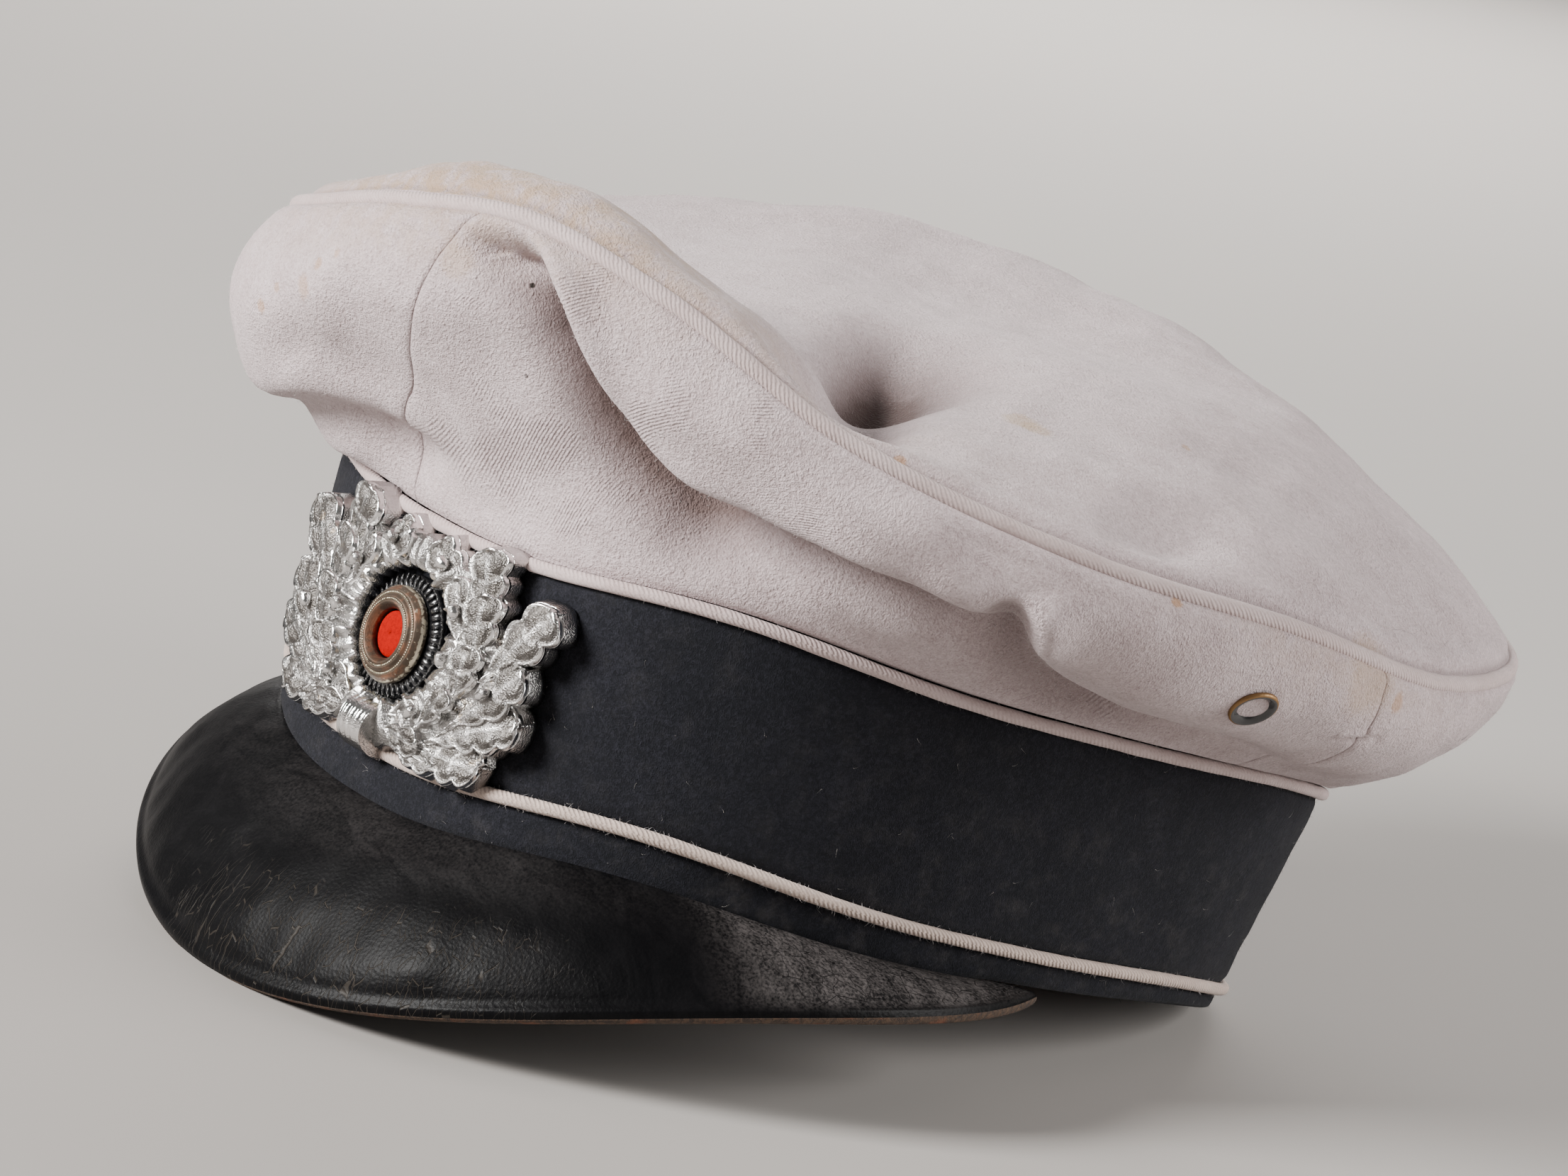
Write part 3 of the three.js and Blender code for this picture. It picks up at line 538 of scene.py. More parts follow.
SPOTS = (
    Spot(True, 64.2, 0.68, 4.2, 0.55, Mark.TAN),
    Spot(True, 66.0, 0.70, 3.2, 0.5, Mark.TAN),
    Spot(True, 88.4, 0.65, 1.2, 0.5, Mark.RUST),
    Spot(True, 52.4, 0.985, 1.4, 0.6, Mark.RUST),
    Spot(True, 76.9, 0.945, 2.6, 0.25, Mark.SHADE),
    Spot(False, 77.7, 0.975, 1.3, 0.7, Mark.RUST),
    Spot(False, 104.4, 0.89, 2.4, 0.5, Mark.RUST),
    Spot(False, 99.9, 0.955, 9.0, 0.35, Mark.TAN),
    Spot(False, -14.6, 0.64, 1.7, 0.55, Mark.RUST),
    Spot(False, -12.6, 0.7, 1.2, 0.4, Mark.RUST),
    Spot(False, -7.9, 0.70, 2.6, 0.4, Mark.RUST),
    Spot(False, -6.6, 0.78, 1.5, 0.45, Mark.RUST),
    Spot(False, -4.5, 0.82, 1.2, 0.35, Mark.RUST),
    Spot(False, 9.1, 0.83, 4.2, 0.3, Mark.TAN),
    Spot(False, 15.4, 0.77, 0.62, 1.0, Mark.HOLE),
    Spot(False, 14.1, 0.49, 0.5, 0.75, Mark.HOLE),
    Spot(False, 124.0, 0.70, 1.1, 0.7, Mark.SHADE),
)


@dataclass(frozen=True)
class Finish:
    """What every finish shares: its name and its main colour."""

    name: str
    colour: Colour

    def start(self) -> tuple[bpy.types.Material, Plan, Any]:
        """Makes the material.

        Returns:
            The material, its plan and its main shader.
        """
        material = bpy.data.materials.new(self.name)
        material.use_nodes = True
        material.node_tree.nodes.clear()
        plan = Plan(material.node_tree)
        shader = plan.node("ShaderNodeBsdfPrincipled")
        output = plan.node("ShaderNodeOutputMaterial")
        material.node_tree.links.new(shader.outputs[0], output.inputs[0])
        material.diffuse_color = rgba(self.colour)
        return material, plan, shader


def settle(shader: Any, plan: Plan, **inputs: Any) -> None:
    """Feeds a shader's inputs, given with _ for each space of their names."""
    for name, value in inputs.items():
        plan.feed(shader.inputs[name.replace("_", " ")], value)


@dataclass(frozen=True)
class NappedWool(Finish):
    """Napped wool cloth with mottling, worn twill, stains, small marks and painted shade."""

    shade: Colour = (0.37, 0.285, 0.285)
    # This colour is used for dirt and for painted shade in the folds and the hollow.
    soil_and_shade: Colour = (0.15, 0.105, 0.098)
    stain: Colour = (0.40, 0.27, 0.165)
    sheen: float = 0.22
    nap: float = 0.6
    twill: float = 0.3
    spots: tuple[tuple[tuple[float, float, float], Spot], ...] = ()

    def make(self) -> bpy.types.Material:
        """Makes the material.

        Returns:
            The material.
        """
        material, plan, shader = self.start()
        place = plan.place()
        broad = plan.noise(place, 38.0, 3.0, 0.55)
        patchy = plan.noise(place, 7.0, 4.0, 0.62, 0.4)
        grain = plan.noise(place, 0.95, 3.0, 0.7, 0.2)
        fleck = plan.noise(plan.scaled(place, (1.0, 1.5, 1.2), 35.0), 0.5, 2.0, 0.6)
        tufts = plan.cells(plan.scaled(place, (1.0, 1.5, 1.2), 20.0), 0.95)
        worn = plan.step(plan.noise(place, 17.0, 2.0) + plan.value("worn") * 0.25, 0.56, 0.74)
        cloth = plan.scaled(plan.cloth(), (1.0, 1.0, 1.0), 42.0)
        rib = plan.ribs(cloth, 0.75, 1.6)
        tone = 0.68 + (broad - 0.5) * 0.5 + (patchy - 0.5) * 0.8 + (grain - 0.5) * 1.3 + (fleck - 0.5) * 1.4
        tone = tone - tufts * 0.2 - worn * (1.0 - rib) * 0.08
        colour = plan.blend(tone.held(), rgba(self.shade), rgba(self.colour))
        # This value darkens the cloth along the seams and rim, and lays painted shade in the folds and the
        # hollow.
        grime = plan.value("grime")
        colour = plan.blend((grime * (0.6 + patchy * 0.8)).held(), colour, rgba(self.soil_and_shade))
        patches = plan.step(plan.noise(place, 4.5, 4.0, 0.7, 0.6) + grain * 0.3, 0.42, 0.78)
        stained = plan.value("stain") * patches
        colour = plan.blend((stained * 0.8).held(), colour, rgba(self.stain))
        for centre, spot in self.spots:
            away = plan.vector("DISTANCE", place, centre, output=1) * (1000.0 / spot.radius)
            ragged = away + (patchy - 0.5) * 0.9 + (fleck - 0.5) * 0.7
            cover = (1.0 - plan.step(ragged, 0.55, 1.1)) * spot.strength
            colour = plan.blend(cover, colour, rgba(spot.mark.value))
        height = grain * 0.7 + fleck * 0.7 - tufts * 0.25 + patchy * 0.1 + rib * worn * self.twill
        settle(shader, plan, Base_Color=colour, Roughness=0.93, Sheen_Weight=self.sheen, Sheen_Roughness=0.45,
               Specular_IOR_Level=0.18, Normal=plan.relief(height, self.nap))
        return material


@dataclass(frozen=True)
class DenseWool(Finish):
    """Dense black wool with a faint blue-grey bloom and dust caught in the nap."""

    bloom: Colour = (0.03, 0.03, 0.04)
    dust: Colour = (0.2, 0.18, 0.17)

    def make(self) -> bpy.types.Material:
        """Makes the material.

        Returns:
            The material.
        """
        material, plan, shader = self.start()
        place = plan.place()
        broad = plan.noise(place, 22.0, 3.0, 0.6)
        grain = plan.noise(place, 0.9, 3.0, 0.65, 0.6)
        fleck = plan.noise(plan.scaled(place, (1.0, 2.4, 1.3), 30.0), 0.42, 2.0)
        tone = (grain - 0.42) * 1.3 + (fleck - 0.5) * 1.2 + (broad - 0.5) * 0.5
        colour = plan.blend(tone.held(), rgba(self.colour), rgba(self.bloom))
        motes = plan.step(plan.cells(place, 3.1), 0.055, 0.03) * plan.step(plan.noise(place, 9.0), 0.55, 0.7)
        # On the dark wool this value holds dust only, no shade.
        powder = plan.value("grime") * plan.step(plan.noise(place, 6.0, 4.0, 0.7), 0.45, 0.85)
        colour = plan.blend((motes * 0.5 + powder * 0.35).held(), colour, rgba(self.dust))
        settle(shader, plan, Base_Color=colour, Roughness=0.97, Sheen_Weight=0.05, Sheen_Roughness=0.5,
               Specular_IOR_Level=0.1, Normal=plan.relief(grain * 0.8 + fleck * 0.6, 0.26))
        return material


@dataclass(frozen=True)
class CordCloth(Finish):
    """Twill wrapped tightly round a cord, soft and a little soiled."""

    shade: Colour = (0.33, 0.25, 0.22)
    pitch: float = 0.8
    ribbing: float = 0.3
    relief: float = 0.24

    def make(self) -> bpy.types.Material:
        """Makes the material.

        Returns:
            The material.
        """
        material, plan, shader = self.start()
        place = plan.place()
        cloth = plan.scaled(plan.cloth(), (1.0, 1.0, 1.0), 38.0)
        rib = plan.ribs(cloth, self.pitch, 1.8)
        fuzz = plan.noise(place, 0.6, 3.0, 0.65)
        broad = plan.noise(place, 14.0, 3.0, 0.6)
        tone = 0.42 + rib * self.ribbing + (fuzz - 0.5) * 0.9 + (broad - 0.5) * 0.8
        colour = plan.blend(tone.held(), rgba(self.shade), rgba(self.colour))
        settle(shader, plan, Base_Color=colour, Roughness=0.9, Sheen_Weight=0.2, Sheen_Roughness=0.5,
               Specular_IOR_Level=0.2, Normal=plan.relief(rib * 0.7 + fuzz * 0.8, self.relief))
        return material


@dataclass(frozen=True)
class Leather(Finish):
    """Black finished leather: fine grain, cracks running down to the edge, dull and dusty places, and a
    painted sheen.
    """

    # This lighter tone is a painted sheen.
    bloom: Colour = (0.0065, 0.0062, 0.007)
    crack: Colour = (0.15, 0.125, 0.10)
    split: Colour = (0.003, 0.003, 0.003)
    dust: Colour = (0.085, 0.076, 0.074)

    def make(self) -> bpy.types.Material:
        """Makes the material.

        Returns:
            The material.
        """
        material, plan, shader = self.start()
        place, cloth = plan.place(), plan.cloth()
        broad = plan.noise(place, 26.0, 3.0, 0.55)
        smear = plan.noise(plan.scaled(place, (1.0, 2.5, 1.0), 20.0), 14.0, 4.0, 0.65, 1.0)
        grain = plan.noise(place, 0.6, 4.0, 0.6, 0.4)
        pores = plan.cells(place, 0.75)
        wander = plan.noise(cloth, 6.0, 3.0, 0.6)
        drift = plan.wire("ShaderNodeTexNoise", "Color", {"Vector": cloth, "Scale": 120.0, "Detail": 3.0})
        bent = plan.vector("ADD", cloth, plan.vector("MULTIPLY", drift, (0.003, 0.003, 0.0)))
        lines = plan.cells(plan.scaled(bent, (1.0, 0.16, 1.0), 12.0), 1.7, "DISTANCE_TO_EDGE")
        deep = plan.cells(plan.scaled(bent, (1.0, 0.42, 1.0), -24.0), 5.0, "DISTANCE_TO_EDGE")
        puckers = plan.noise(plan.scaled(bent, (1.0, 0.3, 1.0), -30.0), 3.2, 2.0, 0.55)
        cracked, parched = plan.value("cracked"), plan.value("parched")
        fine = (1.0 - plan.step(lines, 0.006, 0.03)) * plan.step(cracked + (wander - 0.5) * 1.3, 0.45, 1.0)
        wide = (1.0 - plan.step(deep, 0.004, 0.02)) * plan.step(parched + (wander - 0.5) * 0.9, 0.55, 0.9)
        powder = (parched * (0.4 + smear * 1.0) + plan.value("dusty") * (0.12 + smear * 0.45)).held()
        # Painted sheen: the leather is made lighter where the smear noise is high.
        colour = plan.blend(plan.step(smear, 0.4, 0.85) * 0.5, rgba(self.colour), rgba(self.bloom))
        dusted = powder * plan.step(grain + smear * 0.4, 0.45, 0.95)
        colour = plan.blend(dusted.held(), colour, rgba(self.dust))
        colour = plan.blend((fine * 0.16).held(), colour, rgba(self.crack))
        colour = plan.blend((wide * 0.8).held(), colour, rgba(self.split))
        rough = 0.26 + smear * 0.14 + broad * 0.1 + powder * 0.3 + plan.value("dull") * 0.2
        height = grain * 0.25 + pores * 0.2 + smear * 0.4 - fine * 0.4 - wide * 0.9 + puckers * parched * 2.6
        settle(shader, plan, Base_Color=colour, Roughness=rough, Specular_IOR_Level=0.07,
               Normal=plan.relief(height, 0.2))
        return material


@dataclass(frozen=True)
class RawEdge(Finish):
    """The peak's cut edge: brown fibres, ragged and darker in places."""

    shade: Colour = (0.03, 0.02, 0.015)
    rust: Colour = (0.16, 0.055, 0.025)

    def make(self) -> bpy.types.Material:
        """Makes the material.

        Returns:
            The material.
        """
        material, plan, shader = self.start()
        place = plan.place()
        ragged = plan.noise(place, 1.1, 5.0, 0.7, 0.8)
        blot = plan.noise(place, 6.0, 3.0)
        colour = plan.blend(plan.step(ragged, 0.35, 0.65), rgba(self.shade), rgba(self.colour))
        colour = plan.blend(plan.step(blot, 0.55, 0.7) * 0.7, colour, rgba(self.rust))
        settle(shader, plan, Base_Color=colour, Roughness=0.9, Normal=plan.relief(ragged, 0.5))
        return material


@dataclass(frozen=True)
class CastMetal(Finish):
    """Cast aluminium: burnished on its raised rims, grainy and greyer in its recesses."""

    shade: Colour = (0.13, 0.12, 0.11)
    tarnish: Colour = (0.50, 0.37, 0.22)

    def make(self) -> bpy.types.Material:
        """Makes the material.

        Returns:
            The material.
        """
        material, plan, shader = self.start()
        place = plan.place()
        raised = plan.value("raised")
        grit = plan.noise(place, 0.42, 3.0, 0.7)
        pits = plan.cells(place, 0.34)
        drift = plan.noise(place, 5.0, 4.0, 0.6)
        brush = plan.noise(plan.scaled(place, (0.3, 1.0, 4.0), 10.0), 0.5, 2.0)
        bright = (raised + 0.05 + (drift - 0.5) * 0.6 + (grit - 0.5) * 0.5).held()
        colour = plan.blend(bright, rgba(self.shade), rgba(self.colour))
        colour = plan.blend(plan.step(drift, 0.62, 0.72) * 0.4, colour, rgba(self.tarnish))
        rough = 0.36 - bright * 0.22 + (grit - 0.5) * 0.12
        height = (grit * 0.9 + pits * 0.9) * (1.0 - raised * 0.85) + brush * 0.15
        settle(shader, plan, Base_Color=colour, Metallic=1.0, Roughness=rough,
               Normal=plan.relief(height, 0.16))
        return material


@dataclass(frozen=True)
class Lacquer(Finish):
    """Gloss black lacquer on metal, dusty and finely scratched."""

    haze: Colour = (0.05, 0.05, 0.052)

    def make(self) -> bpy.types.Material:
        """Makes the material.

        Returns:
            The material.
        """
        material, plan, shader = self.start()
        place = plan.place()
        haze = plan.noise(place, 2.2, 4.0, 0.6)
        scratch = plan.noise(plan.scaled(place, (0.2, 3.0, 1.0), 35.0), 0.6, 2.0)
        colour = plan.blend(plan.step(haze, 0.55, 0.9) * 0.35, rgba(self.colour), rgba(self.haze))
        settle(shader, plan, Base_Color=colour, Roughness=0.16 + haze * 0.16, Coat_Weight=0.6,
               Coat_Roughness=0.12, Normal=plan.relief(haze * 0.5 + scratch * 0.4, 0.05))
        return material


@dataclass(frozen=True)
class TarnishedMetal(Finish):
    """Bronze-brown tarnish with silvering left on the beads and rims."""

    silver: Colour = (0.62, 0.56, 0.43)
    copper: Colour = (0.30, 0.13, 0.07)

    def make(self) -> bpy.types.Material:
        """Makes the material.

        Returns:
            The material.
        """
        material, plan, shader = self.start()
        place = plan.place()
        chip = plan.noise(place, 1.3, 4.0, 0.7, 0.5)
        fine = plan.noise(place, 0.35, 3.0, 0.6)
        left = plan.step(plan.value("silvered") + (chip - 0.5) * 1.5, 0.45, 0.62)
        copper = plan.step(plan.noise(place, 3.4, 3.0, 0.6), 0.45, 0.7) * plan.value("coppery")
        colour = plan.blend(copper, rgba(self.colour), rgba(self.copper))
        colour = plan.blend(left, colour, rgba(self.silver))
        rough = 0.42 - left * 0.12 + fine * 0.15
        settle(shader, plan, Base_Color=colour, Metallic=0.75 + left * 0.25, Roughness=rough,
               Normal=plan.relief(chip * 0.6 + fine * 0.5, 0.12))
        return material


@dataclass(frozen=True)
class Felt(Finish):
    """Matted felt."""

    deep: Colour = (0.30, 0.008, 0.004)

    def make(self) -> bpy.types.Material:
        """Makes the material.

        Returns:
            The material.
        """
        material, plan, shader = self.start()
        place = plan.place()
        mat = plan.noise(place, 0.7, 4.0, 0.7, 0.8)
        colour = plan.blend(plan.step(mat, 0.2, 0.62), rgba(self.deep), rgba(self.colour))
        settle(shader, plan, Base_Color=colour, Roughness=0.98, Specular_IOR_Level=0.08,
               Normal=plan.relief(mat, 0.25))
        return material


@dataclass(frozen=True)
class Strand(Finish):
    """Single fibres and threads."""

    def make(self) -> bpy.types.Material:
        """Makes the material.

        Returns:
            The material.
        """
        material, plan, shader = self.start()
        tint = plan.noise(plan.place(), 2.0, 2.0)
        darker = tuple(0.6 * part for part in self.colour)
        colour = plan.blend(tint, rgba(darker), rgba(self.colour))
        settle(shader, plan, Base_Color=colour, Roughness=0.85, Specular_IOR_Level=0.1)
        return material


def bake(name: str, host: bpy.types.Object, tree: Any, inputs: dict[str, Any]) -> bpy.types.Mesh:
    """Runs a geometry tree on an object and gives its result as a plain mesh.

    Args:
        name: the mesh's name.
        host: the object that the tree runs on.
        tree: the tree.
        inputs: its inputs by name.

    Returns:
        The mesh.
    """
    modifier = host.modifiers.new("made", "NODES")
    modifier.node_group = tree
    for item in tree.interface.items_tree:
        if item.item_type == "SOCKET" and item.in_out == "INPUT" and item.name in inputs:
            modifier[item.identifier] = inputs[item.name]
    bpy.context.view_layer.update()
    mesh = bpy.data.meshes.new_from_object(host.evaluated_get(bpy.context.evaluated_depsgraph_get()))
    mesh.name = name
    host.modifiers.remove(modifier)
    return mesh


def tree_with(name: str, sockets: dict[str, tuple[str, Any]]) -> tuple[Any, Plan, Any]:
    """Starts a geometry tree.

    Args:
        name: its name.
        sockets: input kinds and first values by name, after the geometry.

    Returns:
        The tree, its plan and its group input node.
    """
    tree = bpy.data.node_groups.new(name, "GeometryNodeTree")
    tree.interface.new_socket("Geometry", in_out="INPUT", socket_type="NodeSocketGeometry")
    for socket_name, (kind, value) in sockets.items():
        socket = tree.interface.new_socket(socket_name, in_out="INPUT", socket_type=kind)
        if value is not None:
            socket.default_value = value
    tree.interface.new_socket("Geometry", in_out="OUTPUT", socket_type="NodeSocketGeometry")
    plan = Plan(tree)
    return tree, plan, plan.node("NodeGroupInput")


def close_tree(plan: Plan, instances: Wire, material: Wire) -> None:
    """Ends a tree: instances made real, then dressed.

    Args:
        plan: the tree's plan.
        instances: its instances.
        material: their material.
    """
    real = plan.wire("GeometryNodeRealizeInstances", 0, {0: instances})
    dressed = plan.wire("GeometryNodeSetMaterial", 0, {"Geometry": real, "Material": material})
    plan.node("NodeGroupOutput", {0: dressed})


def nap_tree() -> Any:
    """Fine bent fibres scattered over a surface, leaning every way.

    Returns:
        The tree, with density a square metre, length, thickness, lean, bend, seed and material as inputs.
    """
    number, whole = "NodeSocketFloat", "NodeSocketInt"
    tree, plan, start = tree_with("nap", {
        "Density": (number, 1000.0), "Length": (number, 0.001), "Thickness": (number, 0.00002),
        "Lean": (number, 1.2), "Bend": (number, 0.5), "Seed": (whole, 1),
        "Material": ("NodeSocketMaterial", None)})
    given = {socket.name: Wire(plan, socket) for socket in start.outputs if socket.name}
    outside = plan.wire("GeometryNodeInputNamedAttribute", 0, {"Name": "air"}, data_type="FLOAT")
    scatter = plan.node("GeometryNodeDistributePointsOnFaces", {
        "Mesh": given["Geometry"], "Density": given["Density"] * outside, "Seed": given["Seed"]})
    fibre = plan.node("GeometryNodeMeshCone", {
        "Vertices": 3, "Side Segments": 3, "Radius Top": 0.0, "Radius Bottom": 1.0, "Depth": 1.0})
    height = plan.wire("ShaderNodeSeparateXYZ", 2, {0: plan.wire("GeometryNodeInputPosition", 0)})
    push = height * height * given["Bend"] * (given["Length"] / given["Thickness"])
    offset = plan.wire("ShaderNodeCombineXYZ", 0, {0: push})
    bent = plan.wire("GeometryNodeSetPosition", 0, {
        "Geometry": Wire(plan, fibre.outputs["Mesh"]), "Offset": offset})
    lean = plan.wire("FunctionNodeRandomValue", 1, {2: 0.35, 3: given["Lean"], "Seed": 3}, data_type="FLOAT")
    spin = plan.wire("FunctionNodeRandomValue", 1, {2: 0.0, 3: 6.283, "Seed": 4}, data_type="FLOAT")
    swing = plan.wire("FunctionNodeEulerToRotation", 0, {
        0: plan.wire("ShaderNodeCombineXYZ", 0, {0: lean, 2: spin})})
    stance = plan.wire("FunctionNodeRotateRotation", 0, {
        0: Wire(plan, scatter.outputs["Rotation"]), 1: swing}, rotation_space="LOCAL")
    grown = plan.wire("FunctionNodeRandomValue", 1, {2: 0.4, 3: 1.3, "Seed": 5}, data_type="FLOAT")
    size = plan.wire("ShaderNodeCombineXYZ", 0, {
        0: given["Thickness"], 1: given["Thickness"], 2: given["Length"] * grown})
    planted = plan.wire("GeometryNodeInstanceOnPoints", 0, {
        "Points": Wire(plan, scatter.outputs["Points"]), "Instance": bent, "Rotation": stance, "Scale": size})
    close_tree(plan, planted, given["Material"])
    return tree


def circle_tree() -> Any:
    """Small rounded parts set in a circle, each turned to face its middle.

    Returns:
        The tree, with count, radius, a part's size along, across and up, and material as inputs.
    """
    number = "NodeSocketFloat"
    tree, plan, start = tree_with("circle_of_parts", {
        "Count": ("NodeSocketInt", 24), "Radius": (number, 0.01),
        "Size": ("NodeSocketVector", (1.0, 1.0, 1.0)), "Material": ("NodeSocketMaterial", None)})
    given = {socket.name: Wire(plan, socket) for socket in start.outputs if socket.name}
    ring = plan.wire("GeometryNodeMeshCircle", 0, {"Vertices": given["Count"], "Radius": given["Radius"]})
    points = plan.wire("GeometryNodeMeshToPoints", 0, {"Mesh": ring})
    part = plan.node("GeometryNodeMeshUVSphere", {"Segments": 8, "Rings": 6, "Radius": 1.0})
    angle = plan.wire("GeometryNodeInputIndex", 0) * (2.0 * math.pi) / given["Count"]
    swing = plan.wire("FunctionNodeEulerToRotation", 0, {0: plan.wire("ShaderNodeCombineXYZ", 0, {2: angle})})
    planted = plan.wire("GeometryNodeInstanceOnPoints", 0, {
        "Points": points, "Instance": Wire(plan, part.outputs["Mesh"]), "Rotation": swing,
        "Scale": given["Size"]})
    close_tree(plan, planted, given["Material"])
    return tree


def adopt(piece: bpy.types.Object, slot: str, *nodes: str) -> None:
    """Sets a piece on the cap's body.

    Args:
        piece: the piece.
        slot: not used.
        nodes: CAD nodes that it stands for.
    """
    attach(piece, "root")
    if nodes:
        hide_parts(*nodes)
    LOG.info("%s: %d triangles", piece.name, sum(len(face.vertices) - 2 for face in piece.data.polygons))


def linked(name: str, mesh: bpy.types.Mesh) -> bpy.types.Object:
    """Puts a mesh in the scene.

    Args:
        name: the object's name.
        mesh: the mesh.

    Returns:
        The object.
    """
    made = bpy.data.objects.new(name, mesh)
    bpy.context.collection.objects.link(made)
    return made


@dataclass
class Finishes:
    """The cap's materials."""

    pale_wool: bpy.types.Material
    pale_cord: bpy.types.Material
    welt_cloth: bpy.types.Material
    black_wool: bpy.types.Material
    leather: bpy.types.Material
    raw_edge: bpy.types.Material
    aluminium: bpy.types.Material
    lacquer: bpy.types.Material
    tarnish: bpy.types.Material
    felt: bpy.types.Material
    brass: bpy.types.Material
    pale_fibre: bpy.types.Material
    dark_fibre: bpy.types.Material
    lint: bpy.types.Material


@dataclass
class Cord:
    """A cloth-covered cord round the cap."""

    name: str
    radius: float
    steps: int = 900
    sides: int = 16
    flatness: float = 1.0
    sink: float = 0.0

    def build(
        self, centres: Callable[[np.ndarray], np.ndarray], out: Callable[[np.ndarray], np.ndarray],
        material: bpy.types.Material,
    ) -> bpy.types.Object:
        """Makes the cord.

        Args:
            centres: gives its centres by turn.
            out: gives the direction out of the cap by turn.
            material: its cloth.

        Returns:
            The cord's object.
        """
        turns = np.linspace(-180.0, 180.0, self.steps, endpoint=False)
        middle = centres(turns)
        ahead = unit(centres(turns + 0.5) - centres(turns - 0.5))
        outward = out(turns)
        outward = unit(outward - ahead * np.sum(outward * ahead, -1, keepdims=True))
        side = np.cross(ahead, outward)
        middle = middle - outward * self.sink
        angles = np.linspace(0.0, 2.0 * math.pi, self.sides, endpoint=False)
        wobble = 1.0 + 0.03 * ripple(middle, 9.0, 5)[:, None]
        raised = outward[:, None] * (np.cos(angles) * wobble)[..., None] * self.radius * self.flatness
        spread = side[:, None] * (np.sin(angles) * wobble)[..., None] * self.radius
        rows = middle[:, None] + raised + spread
        length = np.linalg.norm(np.diff(np.concatenate([middle, middle[:1]]), axis=0), axis=1)
        shell = Shell()
        shell.add_grid(rows, ring=True, tube=True, flip=True, air=1.0,
                       along=np.concatenate([[0.0], np.cumsum(length)]),
                       across=np.linspace(0.0, 2.0 * math.pi * self.radius, self.sides + 1))
        return shell.build(self.name, [material])


